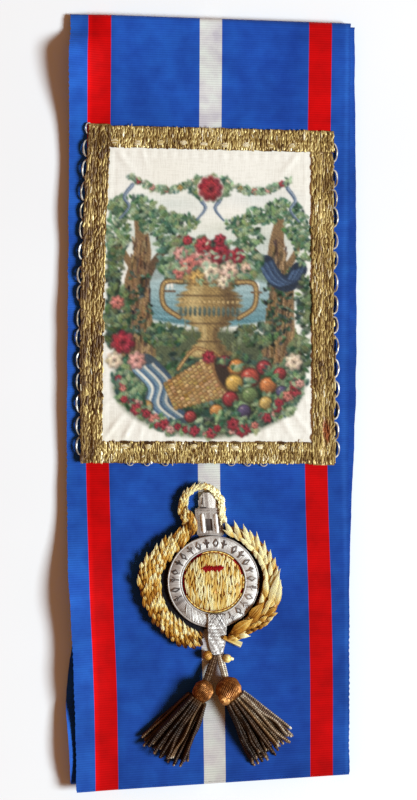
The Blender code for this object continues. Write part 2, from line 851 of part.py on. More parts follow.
# Leaves in rows: how many, which side of the branch (-1 inside, 1 outside), splay in degrees,
# size as a share, seat as a share of the half width, first and last place along the branch
LEAF_ROWS = {
    "wreath_left": ((13, 1, 30.0, 0.92, 0.66, 0.04, 0.95), (10, -1, 16.0, 0.80, 0.25, 0.06, 0.84)),
    "wreath_right": ((9, 1, 34.0, 1.10, 0.58, 0.07, 0.94), (8, -1, 16.0, 0.86, 0.25, 0.10, 0.86)),
    "wreath_hoop": ((8, 1, 26.0, 0.62, 0.50, 0.08, 0.72),),
}
BRANCHES = {"wreath_left": (WREATH_LEFT, -1), "wreath_right": (WREATH_RIGHT, 1)}
LEAF_OVERLAP = 0.30
FULL_HEIGHT_SHARE = 0.15
BRANCH_STEPS = 18

# The cut stem of the right branch: angle about the ring, radius as a share of WREATH_RADIUS,
# direction in degrees, and size as a share of a leaf
STEM = (-72.0, 0.88, -40.0, 1.15)


def leaf_mesh(name, route, level, padding, extra=()):
    """All leaves of one branch, as one mesh of closed spindles. route(share) gives its frame."""

    def build(bm):
        for count, side, splay, size, seat, first, last in LEAF_ROWS[name]:
            turn = math.radians(splay * side)
            for i in range(count):
                middle, outward, grown, half_width = route(first + (last - first) * i / (count - 1))
                direction = grown * math.cos(turn) + outward * math.sin(turn)
                foot = middle + outward * (side * seat * half_width)
                foot = foot - direction * (LEAF_OVERLAP * size * LEAF_LENGTH)
                add_leaf(bm, foot, direction, size, level, padding)
        for foot, direction, size in extra:
            add_leaf(bm, foot, direction, size, level, padding)

    return mesh_from(f"{name}_leaves", build)


def branch_frame(rows, angle, growth):
    """Middle of a branch, the outward direction, the way it grows, and its half width."""
    inner, outer = branch_radii(rows, angle)
    outward = badge_point(angle, 1.0) - BADGE_CENTRE
    grown = np.array((-outward[1], outward[0])) * growth
    return badge_point(angle, (inner + outer) / 2), outward, grown, (outer - inner) / 2


def make_branch(name):
    """A padded bullion branch with leaves on it, which grow from the badge's foot to its top."""
    rows, growth = BRANCHES[name]
    low, high = rows[0][0], rows[-1][0]
    foot, tip = (low, high) if growth > 0 else (high, low)
    rings = []
    for i in range(BRANCH_STEPS + 1):
        angle = low + (high - low) * i / BRANCH_STEPS
        middle, outward, _, half_width = branch_frame(rows, angle, growth)
        height = WREATH_HEIGHT * min(1.0, half_width / (FULL_HEIGHT_SHARE * WREATH_RADIUS))
        rings.append(domed_ring(middle, outward, half_width, BADGE_LEVEL, height))
    mesh = mesh_from(name, lambda bm: add_loft(bm, rings))
    obj = place(bpy.data.objects.new(name, mesh), "gold_bullion")

    def route(share):
        return branch_frame(rows, foot + (tip - foot) * share, growth)

    extra = []
    if growth > 0:
        angle, radius, direction, size = STEM
        turn = math.radians(direction)
        way = np.array((math.cos(turn), math.sin(turn)))
        extra.append((badge_point(angle, radius * WREATH_RADIUS), way, size))
    leaves = leaf_mesh(name, route, BADGE_LEVEL, WREATH_HEIGHT, extra)
    boolean(obj, helper(f"{name}_leaves", leaves), "UNION", True)


HOOP_STEPS = 20


def hoop_path():
    """Middles and half widths of the hoop, from its left foot over the top to its right foot."""
    centre = BADGE_CENTRE + np.array((HOOP_SHIFT, HOOP_RISE))
    first, last = HOOP_ROWS[0][0], HOOP_ROWS[-1][0]
    middles = []
    for i in range(HOOP_STEPS + 1):
        angle = first + (last - first) * i / HOOP_STEPS
        share, half = smooth_rows(HOOP_ROWS, angle)
        out = np.array((math.cos(math.radians(angle)), math.sin(math.radians(angle))))
        middles.append((centre + out * share * HOOP_RADIUS, half * HOOP_HEIGHT))
    return middles


def hoop_frame(share):
    """Middle of the hoop, its outward direction, the way it runs, and its half width."""
    middles = hoop_path()
    i = min(int(share * HOOP_STEPS), HOOP_STEPS - 1)
    (start, half_start), (end, half_end) = middles[i], middles[i + 1]
    part_way = share * HOOP_STEPS - i
    middle = start + part_way * (end - start)
    before, after = middles[max(i - 1, 0)][0], middles[min(i + 2, HOOP_STEPS)][0]
    along = (after - before) / np.linalg.norm(after - before)
    return middle, np.array((-along[1], along[0])), along, half_start + part_way * (half_end - half_start)


def make_hoop():
    """The bullion loop above the ring, open in the middle, with both feet on the ribbon."""
    rings = []
    for i in range(HOOP_STEPS + 1):
        middle, outward, _, half = hoop_frame(i / HOOP_STEPS)
        rings.append(domed_ring(middle, outward, half, BACKING_LEVEL, HOOP_HEIGHT))
    mesh = mesh_from("wreath_hoop", lambda bm: add_loft(bm, rings))
    obj = place(bpy.data.objects.new("wreath_hoop", mesh), "gold_bullion")
    leaves = leaf_mesh("wreath_hoop", hoop_frame, BACKING_LEVEL, HOOP_HEIGHT)
    boolean(obj, helper("wreath_hoop_leaves", leaves), "UNION", True)


HOOP_CLEARANCE = 2 * SEAT_GAP
HOOP_CROWN_ANGLE = 100.0
FINIAL_STEPS = 12
FINIAL_FOOT_STEPS = 5


def clear_of_hoop(x, y, side):
    """x moved towards the finial's middle until the point stands clear of the hoop."""
    for middle, half in hoop_path():
        reach = half + HOOP_CLEARANCE
        if abs(y - middle[1]) < reach and side * (middle[0] - BADGE_CENTRE[0] - FINIAL_SHIFT) > 0:
            limit = middle[0] - side * math.sqrt(reach**2 - (y - middle[1]) ** 2)
            x = min(x, limit) if side > 0 else max(x, limit)
    return x


def make_finial():
    """A small silver dome on two pillars, its foot cut to the ring's curve, with a slot between."""
    foot = RING_OUTER_RADIUS + SEAT_GAP
    crown_half = smooth_rows(HOOP_ROWS, HOOP_CROWN_ANGLE)[1] * HOOP_HEIGHT
    finial_top = HOOP_RISE + HOOP_RADIUS - crown_half - FINIAL_TOP_GAP
    left, right = [], []
    for i in range(FINIAL_STEPS + 1):
        share = i / FINIAL_STEPS
        half = smooth_rows(FINIAL_ROWS, share)[0]
        lean = FINIAL_SHIFT + FINIAL_LEAN * (1 - share)
        for side, points in ((-1, left), (1, right)):
            x = lean + side * half * FINIAL_WIDTH
            y = math.sqrt(foot**2 - x**2) if i == 0 else foot + share * (finial_top - foot)
            x, y = BADGE_CENTRE + np.array((x, y))
            points.append(np.array((clear_of_hoop(x, y, side), y)))
    curve_points = []
    for i in range(1, FINIAL_FOOT_STEPS):
        x = (left[0] + (right[0] - left[0]) * i / FINIAL_FOOT_STEPS - BADGE_CENTRE)[0]
        curve_points.append(BADGE_CENTRE + np.array((x, math.sqrt(foot**2 - x**2))))
    outline = curve_points + right + list(reversed(left))
    obj = flat_solid("silver_finial", outline, BACKING_LEVEL, FINIAL_THICKNESS, "silver_bullion")
    mesh = bpy.data.meshes.new_from_object(obj.evaluated_get(bpy.context.evaluated_depsgraph_get()))
    bm = bmesh.new()
    bm.from_mesh(mesh)
    bmesh.ops.remove_doubles(bm, verts=bm.verts, dist=MERGE_DISTANCE)
    bm.to_mesh(mesh)
    bm.free()
    location = obj.location.copy()
    bpy.data.objects.remove(obj)
    piece = place(bpy.data.objects.new("silver_finial", mesh), "silver_bullion", smooth=False)
    piece.location = location
    edge = piece.modifiers.new("rounded_edge", "BEVEL")
    edge.width = FINIAL_BEVEL
    edge.segments = 1
    edge.limit_method = "ANGLE"
    edge.angle_limit = math.radians(60)

    def build(bm):
        bmesh.ops.create_cube(bm, size=1.0)
        size = (FINIAL_SLOT_WIDTH, FINIAL_SLOT_HEIGHT, 2 * FINIAL_SLOT_DEPTH)
        bmesh.ops.scale(bm, vec=size, verts=bm.verts)

    slot = helper("finial_slot", mesh_from("finial_slot", build))
    rise = FINIAL_SLOT_RISE + FINIAL_SLOT_HEIGHT / 2
    lean = FINIAL_SHIFT + FINIAL_LEAN * (1 - rise / (finial_top - foot))
    slot.location = (BADGE_CENTRE[0] + lean, BADGE_CENTRE[1] + foot + rise, BACKING_LEVEL + FINIAL_THICKNESS)
    boolean(piece, slot, "DIFFERENCE")


def make_tail():
    """The strap starts on the ring's lower edge, runs down over it and narrows to the cords."""
    start = -RING_INNER_RADIUS - SEAT_GAP
    on_ring = RING_TOP + SEAT_GAP
    on_backing = BADGE_LEVEL
    on_cloth = BACKING_LEVEL
    past_ring = RING_OUTER_RADIUS + BACKING_MARGIN
    rows = (
        (start, on_ring, 1.0),
        (-RING_OUTER_RADIUS, on_ring, 1.0),
        (-past_ring - TAIL_THICKNESS, (on_ring + on_backing) / 2 + SEAT_GAP, 1.0),
        (start - 0.66 * TAIL_LENGTH, on_cloth, 0.94),
        (start - 0.84 * TAIL_LENGTH, on_cloth, 0.80),
        (start - TAIL_LENGTH, on_cloth, 0.48),
    )
    sheet = []
    for y, level, width in rows:
        row = []
        for side in (-1, 1):
            x = TAIL_SHIFT + side * width * TAIL_WIDTH / 2
            row.append((BADGE_CENTRE[0] + x, BADGE_CENTRE[1] + y, level))
        sheet.append(row)
    mesh = bpy.data.meshes.new("silver_tail")
    bm = bmesh.new()
    add_sheet(bm, sheet)
    for face in bm.faces:
        face.normal_update()
        if face.normal.z < 0:
            face.normal_flip()
    bm.to_mesh(mesh)
    bm.free()
    obj = place(bpy.data.objects.new("silver_tail", mesh), "silver_bullion", smooth=False)
    solidify(obj, TAIL_THICKNESS, 1.0)


TAIL_END = BADGE_CENTRE + np.array((TAIL_SHIFT, -RING_INNER_RADIUS - SEAT_GAP - TAIL_LENGTH))


def make_balls():
    for name, (across, along, size) in BALLS.items():
        radius = size * BALL_RADIUS

        def build(bm, radius=radius):
            bmesh.ops.create_uvsphere(bm, u_segments=10, v_segments=6, radius=radius)

        obj = place(bpy.data.objects.new(name, mesh_from(name, build)), "gold_bullion")
        side = math.copysign(1.0, across)
        x = TAIL_END[0] + side * 0.24 * TAIL_WIDTH + across * BALL_RADIUS + side * SEAT_GAP
        y = TAIL_END[1] + along * BALL_RADIUS
        obj.location = (x, y, front_surface(y) + SEAT_GAP + radius)


def head_place(side, spread, drop, axes):
    """A head lies on the ribbon, so its height follows from its own size."""
    x = TAIL_END[0] + side * spread * TASSEL_SPREAD / 2
    y = BADGE_CENTRE[1] - TASSEL_DROP * (1 + drop)
    height = front_surface(y) + SEAT_GAP + axes[2] * HEAD_RADIUS
    return Vector((x, y, height))


def make_head(name, centre, axes):
    def build(bm):
        bmesh.ops.create_uvsphere(bm, u_segments=14, v_segments=9, radius=HEAD_RADIUS)
        bmesh.ops.scale(bm, vec=axes, verts=bm.verts)

    obj = place(bpy.data.objects.new(name, mesh_from(name, build)), "bronze_bullion")
    obj.location = centre


def make_cord(name, side, centre, axes):
    """A cord from the tail's end down to the head, which it meets at the top."""
    start = Vector((TAIL_END[0] + side * (CORD_RADIUS + SEAT_GAP), TAIL_END[1] - SEAT_GAP - CORD_RADIUS, 0))
    start.z = front_surface(start.y) + SEAT_GAP + CORD_RADIUS
    way = (centre - start).normalized()
    reach = 1 / math.sqrt(sum((way[i] / (axes[i] * HEAD_RADIUS)) ** 2 for i in range(3)))
    end = centre - way * (reach + 2 * SEAT_GAP)
    path = [start.lerp(end, i / 4) for i in range(5)]
    mesh = wire_mesh(name, [path], CORD_RADIUS, 1)
    place(bpy.data.objects.new(name, mesh), "dark_fringe")


# How a skirt falls: the shares of its length where its lower side and its upper layer come down
# to the ribbon, and the power by which it widens
FALL_SHARE = 0.5
UPPER_FALL_SHARE = 0.8
SPREAD_POWER = 0.85
UPPER_LAYER_STEP = 1.5


def skirt_frame(axes, direction):
    """The way that a skirt hangs, the way across it, and how far under the head it starts."""
    turn = math.radians(direction)
    along = Vector((math.cos(turn), math.sin(turn), 0.0))
    across = Vector((-along.y, along.x, 0.0))
    reach = HEAD_RADIUS / math.hypot(along.x / axes[0], along.y / axes[1])
    return along, across, reach + 2 * SEAT_GAP


def skirt_spread(share, width):
    """Width of a skirt at a share of its length."""
    widening = (SKIRT_END_WIDTH - SKIRT_TOP_WIDTH) * share**SPREAD_POWER
    return (SKIRT_TOP_WIDTH + widening) * width


def lock_rings(centre, axes, direction, width, lock, start):
    """Sections of one lock of fringe, from just under the head to its own free end."""
    across_share, layer, length_share = lock
    along, across, top = skirt_frame(axes, direction)
    rings = []
    for share in (0.0, 0.2, FALL_SHARE, UPPER_FALL_SHARE, 1.0):
        radius = LOCK_RADIUS * (1 - LOCK_THICKENING / 2 + LOCK_THICKENING * share)
        point = centre + along * (top + start + share * (length_share * SKIRT_LENGTH - start))
        point += across * (across_share * (skirt_spread(share, width) / 2 - radius))
        floor = front_surface(point.y) + SEAT_GAP + radius
        root = centre.z - SKIRT_TOP_HEIGHT / 2 + radius
        lower = root + (floor - root) * min(1.0, share / FALL_SHARE)
        full_step = SKIRT_TOP_HEIGHT - 2 * radius
        fallen = min(1.0, share / UPPER_FALL_SHARE)
        step = full_step + (UPPER_LAYER_STEP * radius - full_step) * fallen
        point.z = max(lower, floor) + layer * step
        ring = []
        for i in range(LOCK_SIDES):
            angle = math.tau * i / LOCK_SIDES
            rise = Vector((0, 0, radius * math.sin(angle)))
            ring.append(point + across * (radius * math.cos(angle)) + rise)
        rings.append(ring)
    return rings


# Half height of a skirt's core at its top, and the core's depth on the ribbon
CORE_HALF_HEIGHT = 0.35 * SKIRT_TOP_HEIGHT
CORE_DEPTH = 2.2 * LOCK_RADIUS
CORE_CHAMFER = 0.75


def make_skirt(name, centre, axes, direction, width):
    """Locks of fringe fused to a core that fills the fan between them."""
    along, across, top = skirt_frame(axes, direction)
    rings = []
    for share in (0.0, 0.25, 0.55, 0.85):
        half = skirt_spread(share, width) / 2 - LOCK_RADIUS
        middle = centre + along * (top + share * SKIRT_LENGTH)
        floor = front_surface(middle.y) + SEAT_GAP + LOCK_RADIUS / 2
        fall = min(1.0, share / FALL_SHARE)
        low = (centre.z - CORE_HALF_HEIGHT) * (1 - fall) + floor * fall
        high = (centre.z + CORE_HALF_HEIGHT) * (1 - fall) + (floor + CORE_DEPTH) * fall
        ring = []
        for side, height in ((-1, low), (1, low), (CORE_CHAMFER, high), (-CORE_CHAMFER, high)):
            point = middle + across * (side * half)
            ring.append((point.x, point.y, height))
        rings.append(ring)
    mesh = mesh_from(name, lambda bm: add_loft(bm, rings))
    obj = place(bpy.data.objects.new(name, mesh), "dark_fringe")

    def build(bm):
        for i, lock in enumerate(SKIRT_LOCKS):
            start = LOCK_STAGGER * (1 + i % LOCK_STARTS)
            add_loft(bm, lock_rings(centre, axes, direction, width, lock, start))

    boolean(obj, helper(f"{name}_locks", mesh_from(f"{name}_locks", build)), "UNION", True)


def make_tassels():
    for key, (side, spread, drop, axes, direction, width) in TASSELS.items():
        centre = head_place(side, spread, drop, axes)
        make_head(f"tassel_head_{key}", centre, axes)
        make_cord(f"tassel_cord_{key}", side, centre, axes)
        make_skirt(f"tassel_skirt_{key}", centre, axes, direction, width)


make_ribbon()
make_panel()
for frame_side in SIDES:
    make_lace(frame_side)
make_backing()
make_ring()
make_disc()
make_accents()
for branch in BRANCHES:
    make_branch(branch)
make_hoop()
make_finial()
make_tail()
make_balls()
make_tassels()
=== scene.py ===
# %% [markdown]
# # Dressing a ceremonial sash
#
# The object is a society sash of striped silk ribbon, pressed flat and folded over. On its front
# are a printed silk picture in a frame of metal lace, a padded badge of gold and silver wire, and
# two tassels of twisted cord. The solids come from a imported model, which stays fixed. This script
# puts a finely modelled piece in the place of each plain one, and gives every surface its finish.
#
# Lengths are in metres. X runs across the ribbon, Y along it, and Z up out of its front.

# %% Load the frame
import math

import bpy
import numpy as np
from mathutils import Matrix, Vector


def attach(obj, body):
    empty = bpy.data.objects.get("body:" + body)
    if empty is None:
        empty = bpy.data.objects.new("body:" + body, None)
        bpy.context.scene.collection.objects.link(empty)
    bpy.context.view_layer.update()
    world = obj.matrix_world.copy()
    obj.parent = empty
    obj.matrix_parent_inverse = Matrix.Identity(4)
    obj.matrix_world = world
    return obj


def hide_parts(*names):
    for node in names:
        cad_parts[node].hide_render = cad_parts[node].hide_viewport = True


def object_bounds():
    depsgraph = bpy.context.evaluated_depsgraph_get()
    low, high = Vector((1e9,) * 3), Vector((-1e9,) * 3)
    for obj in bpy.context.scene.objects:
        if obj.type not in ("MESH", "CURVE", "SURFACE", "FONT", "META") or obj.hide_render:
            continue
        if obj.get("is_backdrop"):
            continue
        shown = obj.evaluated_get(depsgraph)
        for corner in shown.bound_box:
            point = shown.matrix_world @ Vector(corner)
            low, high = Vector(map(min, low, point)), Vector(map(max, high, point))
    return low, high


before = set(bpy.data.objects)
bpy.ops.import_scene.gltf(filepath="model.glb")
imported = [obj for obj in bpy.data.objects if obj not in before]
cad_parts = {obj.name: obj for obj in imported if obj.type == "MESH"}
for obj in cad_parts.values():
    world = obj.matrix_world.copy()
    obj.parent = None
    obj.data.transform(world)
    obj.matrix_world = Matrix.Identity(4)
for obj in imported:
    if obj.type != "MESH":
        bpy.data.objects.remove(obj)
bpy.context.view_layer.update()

MM = 0.001

# %% [markdown]
# ## Collecting many small shapes
#
# Lace, wire embroidery and fringe are hundreds of strands. One object for each would be slow and
# hard to handle, so strands are collected in arrays and become one mesh. Every strand is a stack
# of rings, and each ring runs from its right edge over the top to its left, seen along the way
# that the strand goes. Faces made in that order always point out.

# %% A collector of strands
def distance_along(points):
    """How far each point of a path is from its start, measured along it."""
    steps = np.linalg.norm(np.diff(points, axis=0), axis=1)
    return np.concatenate(([0.0], np.cumsum(steps)))


class Strands:
    """Closed shapes made of rings, joined into one mesh. Each has a tone, 0 dark to 1 bright."""

    def __init__(self):
        self.points, self.quads, self.ends = [], [], []
        self.values = {"tone": [], "run": []}
        self.count = 0

    def add(self, rings, tone=0.5, looped=False, run=None):
        """rings: rows by points round each by 3. tone: one value, one a row, or one a point."""
        rows, around, _ = rings.shape
        index = self.count + np.arange(rows * around).reshape(rows, around)
        low, high = (index, np.roll(index, -1, axis=0)) if looped else (index[:-1], index[1:])
        turned = (low, high, np.roll(high, -1, axis=1), np.roll(low, -1, axis=1))
        self.quads.append(np.stack(turned, axis=-1).reshape(-1, 4))
        if not looped:
            self.ends += [index[0], index[-1][::-1]]
        run = distance_along(rings.mean(axis=1)) if run is None else run
        tone = tone if np.ndim(tone) == 2 else np.reshape(tone, (-1, 1))
        self.points.append(rings.reshape(-1, 3))
        self.values["tone"].append(np.broadcast_to(tone, (rows, around)).ravel())
        self.values["run"].append(np.repeat(run, around))
        self.count += rows * around


# %% [markdown]
# A mesh can be filled from flat arrays much faster than face by face. The tone of each strand and
# the distance along it are kept as attributes of the mesh, because the finishes read them later:
# one to vary the metal's colour, the other to draw the winding of the wire.

# %% From strands to an object
SHARP_ANGLE = math.radians(50)


def make_piece(strands, name, finish, replaces, colours=None):
    """Builds the mesh, puts it on the object's one body and hides the solids it stands for."""
    points, quads = np.concatenate(strands.points), np.concatenate(strands.quads)
    corners = np.concatenate([quads.ravel(), *strands.ends]).astype(np.int32)
    sizes = np.concatenate([np.full(len(quads), 4), [len(end) for end in strands.ends]]).astype(int)
    mesh = bpy.data.meshes.new(name)
    mesh.vertices.add(len(points))
    mesh.vertices.foreach_set("co", points.astype(np.float32).ravel())
    mesh.loops.add(len(corners))
    mesh.loops.foreach_set("vertex_index", corners)
    mesh.polygons.add(len(sizes))
    mesh.polygons.foreach_set("loop_start", (np.cumsum(sizes) - sizes).astype(np.int32))
    mesh.update(calc_edges=True)
    for key, parts in strands.values.items():
        layer = mesh.attributes.new(key, "FLOAT", "POINT")
        layer.data.foreach_set("value", np.concatenate(parts).astype(np.float32))
    if colours is not None:
        layer = mesh.attributes.new("print", "FLOAT_COLOR", "POINT")
        layer.data.foreach_set("color", colours.astype(np.float32).ravel())
    mesh.shade_smooth()
    mesh.set_sharp_from_angle(angle=SHARP_ANGLE)
    mesh.materials.append(finish)
    piece = bpy.data.objects.new(name, mesh)
    bpy.context.scene.collection.objects.link(piece)
    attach(piece, "root")
    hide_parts(*replaces)
    print(f"{name}: {int((sizes - 2).sum())} triangles")
    return piece


# %% [markdown]
# ## Shapes that the strands take
#
# A wire is a tube along a path. Giving the tube one radius for each point round it, and turning
# that pattern as the tube goes along, makes a twisted rope from the same function.

# %% Directions and levels
def heading(degrees):
    """The direction that lies this many degrees round from +X."""
    turn = math.radians(degrees)
    return np.array((math.cos(turn), math.sin(turn)))


def left_of(way):
    """A quarter turn to the left of a direction."""
    return np.array((-way[1], way[0]))


def directions(path):
    """Which way a path runs at each of its points, as arrows of length 1."""
    way = np.gradient(path, axis=0)
    return way / np.linalg.norm(way, axis=1, keepdims=True)


def at_level(flat, level):
    """Points given as x and y, lifted to one level or each to its own."""
    level = np.broadcast_to(level, flat.shape[:-1])
    return np.concatenate((flat, level[..., None]), axis=-1)


def close_below(top, level):
    """Rings that go over a surface and back beneath it, where it is flat."""
    under = top[:, [-1, 0]] * (1, 1, 0) + (0, 0, level)
    return np.concatenate((top, under), axis=1)


# %% Tubes and ropes
def tube(path, radius, sides=6, flat=1.0):
    """Rings along a path that runs mostly level. radius is one value, or rows, or rows by sides."""
    along = directions(path)
    side = np.cross(along, (0.0, 0.0, 1.0))
    side /= np.linalg.norm(side, axis=1, keepdims=True)
    rise = np.cross(side, along)
    turn = np.arange(sides) * math.tau / sides
    radius = np.asarray(radius, float)
    radius = radius if radius.ndim == 2 else radius.reshape(-1, 1)
    radius = np.broadcast_to(radius, (len(path), sides))
    way = side[:, None] * np.cos(turn)[:, None] + flat * rise[:, None] * np.sin(turn)[:, None]
    return path[:, None] + radius[..., None] * way


def rope(path, radius, pitch, lobes=2, depth=0.2, sides=8, ends=0.6):
    """A twisted strand: lobes that wind round it once in each pitch."""
    run = distance_along(path)
    turn = np.arange(sides) * math.tau / sides
    wave = 1 + depth * np.cos(lobes * (turn[None] - math.tau * run[:, None] / pitch))
    taper = np.clip(np.minimum(run, run[-1] - run) / radius + ends, 0, 1)
    return tube(path, radius * wave * taper[:, None], sides)


# %% [markdown]
# Measured forms are kept in short tables, as on a drawing: a row for each section, with its
# lengths as shares of a named size. Between the rows the values follow a smooth curve, so a form
# needs only as many rows as it has real changes of shape. What looks random is drawn from a seed,
# so it comes out the same every time.

# %% Smooth tables and smooth randomness
seeded = np.random.default_rng


def read_table(rows, x):
    """The columns of a table at each x, read from a smooth curve through its rows."""
    table = np.array(sorted(rows), float)
    places, values = table[:, 0], table[:, 1:]
    slopes = np.gradient(values, places, axis=0)
    x = np.clip(np.atleast_1d(x), places[0], places[-1])
    i = np.clip(np.searchsorted(places, x) - 1, 0, len(places) - 2)
    span = (places[i + 1] - places[i])[:, None]
    t = (x - places[i])[:, None] / span
    start = (2 * t**3 - 3 * t**2 + 1) * values[i] + (t**3 - 2 * t**2 + t) * span * slopes[i]
    return start + (3 * t**2 - 2 * t**3) * values[i + 1] + (t**3 - t**2) * span * slopes[i + 1]


def rise_between(x, start, end):
    """0 before start, 1 after end, and a smooth rise between them."""
    t = np.clip((x - start) / (end - start), 0, 1)
    return t * t * (3 - 2 * t)


def ripple(along, wavelength, seed):
    """A smooth wave between about -1 and 1, without a regular beat. The seed picks its shape."""
    waves = seeded(seed)
    total = np.zeros_like(np.asarray(along, float))
    for _ in range(4):
        length = wavelength * waves.uniform(0.6, 1.7)
        total = total + np.sin(math.tau * (along / length + waves.random()))
    return total / 2.5


# %% [markdown]
# ## Writing finishes with nodes
#
# A finish is a Principled shader with a few texture nodes in front of it. These helpers keep each
# finish readable: one adds a node and fills its sockets, the others are steps that most finishes
# here share. A value that is the same all over the surface goes straight on a socket.

# %% Node helpers
def node(tree, kind, inputs=None, **settings):
    made = tree.nodes.new("ShaderNode" + kind)
    for key, value in settings.items():
        setattr(made, key, value)
    for socket, value in (inputs or {}).items():
        if isinstance(value, bpy.types.NodeSocket):
            tree.links.new(value, made.inputs[socket])
        else:
            made.inputs[socket].default_value = value
    return made


def calc(tree, operation, a, b=0.0):
    return node(tree, "Math", {0: a, 1: b}, operation=operation).outputs[0]


def noise(tree, size, detail=2.0, stretch=(1, 1, 1)):
    """Soft random patches of about this size in metres, longer where stretch is under 1."""
    place = node(tree, "TexCoord").outputs["Object"]
    spread = node(tree, "Mapping", {"Vector": place, "Scale": stretch}).outputs[0]
    return node(tree, "TexNoise", {"Vector": spread, "Scale": 0.5 / size, "Detail": detail}).outputs[0]


def read(tree, name):
    return node(tree, "Attribute", attribute_name=name).outputs["Fac"]


def patchy(tree, size, detail, amount):
    """Soft patches round zero, mostly within a quarter of this amount."""
    return calc(tree, "MULTIPLY", calc(tree, "SUBTRACT", noise(tree, size, detail), 0.5), amount)


def winding(tree, pitch):
    """A wave along each strand, which draws the coils of its wire."""
    return calc(tree, "SINE", calc(tree, "MULTIPLY", read(tree, "run"), math.tau / pitch))


# %% Colour and bump helpers
def ramp(tree, factor, stops):
    """A colour for each value of factor, from stops of (place, red, green, blue)."""
    made = node(tree, "ValToRGB", {"Fac": factor})
    bar = made.color_ramp.elements
    while len(bar) < len(stops):
        bar.new(0.5)
    for stop, (place, *colour) in zip(bar, stops):
        stop.position = place
        stop.color = (*colour, 1.0)
    return made.outputs["Color"]


def blend(tree, factor, first, second, how="MIX"):
    """A mix of two colours. Each of the three may be a value or a node's output."""
    made = node(tree, "Mix", data_type="RGBA", blend_type=how)
    for i, value in ((0, factor), (6, first), (7, second)):
        if isinstance(value, bpy.types.NodeSocket):
            tree.links.new(value, made.inputs[i])
        else:
            made.inputs[i].default_value = (*value, 1.0) if i else value
    return made.outputs[2]


def start_finish(name, roughness, metallic=0.0, **sockets):
    material = bpy.data.materials.new(name)
    material.use_nodes = True
    shader = material.node_tree.nodes["Principled BSDF"]
    shader.inputs["Roughness"].default_value = roughness
    shader.inputs["Metallic"].default_value = metallic
    for socket, value in sockets.items():
        shader.inputs[socket.replace("_", " ")].default_value = value
    return material, material.node_tree, shader


def connect(tree, shader, colour, height, depth, strength=1.0):
    """Puts a colour and a relief of this depth in metres on the shader."""
    tree.links.new(colour, shader.inputs["Base Color"])
    sockets = {"Height": height, "Distance": depth, "Strength": strength}
    tree.links.new(node(tree, "Bump", sockets).outputs[0], shader.inputs["Normal"])


# %% Colours that follow the tones
def tinted(tree, colour, factor, stops):
    """The colour multiplied by a ramp."""
    return blend(tree, 1.0, colour, ramp(tree, factor, stops), "MULTIPLY")


def toned(tree, colours, *patches):
    """A colour picked by the tone of each strand, with soft patches of other tones."""
    tone = read(tree, "tone")
    for patch in patches:
        tone = calc(tree, "ADD", tone, patchy(tree, *patch))
    return ramp(tree, tone, colours)


def wire_finish(name, roughness, metallic, patch, colours, pitch, depth, strength, **sockets):
    """Metal thread, with its coils as a relief."""
    finish, tree, shader = start_finish(name, roughness, metallic, **sockets)
    connect(tree, shader, toned(tree, colours, patch), winding(tree, pitch), depth, strength)
    return finish


# %% [markdown]
# ## The ribbon: one loop in four plies
#
# The real sash is a closed loop of ribbed silk. It was pressed flat and then folded over once, so
# four plies lie on each other. It could be four flat rectangles, but then the folds would be
# missing and nothing would join at the ends. Here one strip runs up the front, over the top fold,
# down the back and home between them, exactly where the solid runs.

# %% Sizes of the folded ribbon
SASH_WIDTH = 145 * MM
FOLDED_LENGTH = 396 * MM
SOLID_CLOTH = 1.3 * MM
SILK = 0.8 * MM
PLY_GAP = 0.4 * MM
FOLD_PUFF = 0.6 * MM
FOLD_PUFF_REACH = 10 * MM
INNER_FOLD_SETBACK = 2.1 * MM
BACK_FOLD_SETBACK = 3.4 * MM
TOP_FOLD_SLANT = -5.2 * MM
BOTTOM_FOLD_SLANT = 9.3 * MM

# Each ply's outline: share of the length from the bottom fold, then the shift of its middle and its
# width as shares of SASH_WIDTH. Ply 1 lies on the floor and ply 4 is the front.
PLY_OUTLINES = {
    1: ((0.00, -0.004, 0.990), (0.12, -0.002, 0.985), (0.50, 0.002, 0.990), (1.00, 0.000, 1.000)),
    2: ((0.00, -0.004, 0.990), (0.03, -0.005, 0.992), (0.12, -0.010, 1.009), (0.19, 0.001, 0.985),
        (0.45, 0.012, 0.996), (1.00, 0.018, 0.993)),
    3: ((0.00, 0.009, 0.970), (0.14, 0.005, 0.978), (0.25, 0.001, 0.990), (0.36, 0.007, 0.994),
        (0.45, 0.014, 1.000), (1.00, 0.018, 0.993)),
    4: ((0.00, 0.009, 0.970), (0.14, 0.005, 0.980), (0.23, -0.001, 0.991), (0.29, -0.006, 1.001),
        (0.36, -0.009, 1.004), (0.63, -0.007, 1.003), (1.00, 0.000, 1.000)),
}

# Soft ridges of the front: place along and across, reach along and across, height as a share of
# the cloth. The first is the faint crease beside the tassels.
FRONT_RIDGES = (
    (0.150, -0.55, 0.014, 0.40, 0.45),
    (0.940, 0.45, 0.030, 0.50, 0.25),
    (0.900, -0.75, 0.025, 0.30, 0.30),
    (0.060, -0.80, 0.040, 0.25, 0.30),
)

# %% Where each ply lies
def ply_height(ply, share):
    """Height of the middle of a ply's silk. The outer plies touch the solid's outer faces."""
    bottom, top = (PLY_GAP + SOLID_CLOTH + FOLD_PUFF * np.exp(-away * FOLDED_LENGTH / FOLD_PUFF_REACH)
                   for away in (share, 1 - share))
    steps = {1: 0 * bottom, 2: bottom, 3: bottom + top, 4: 2 * bottom + top}[ply]
    return SOLID_CLOTH / 2 + steps + (ply - 2.5) / 1.5 * (SOLID_CLOTH - SILK) / 2


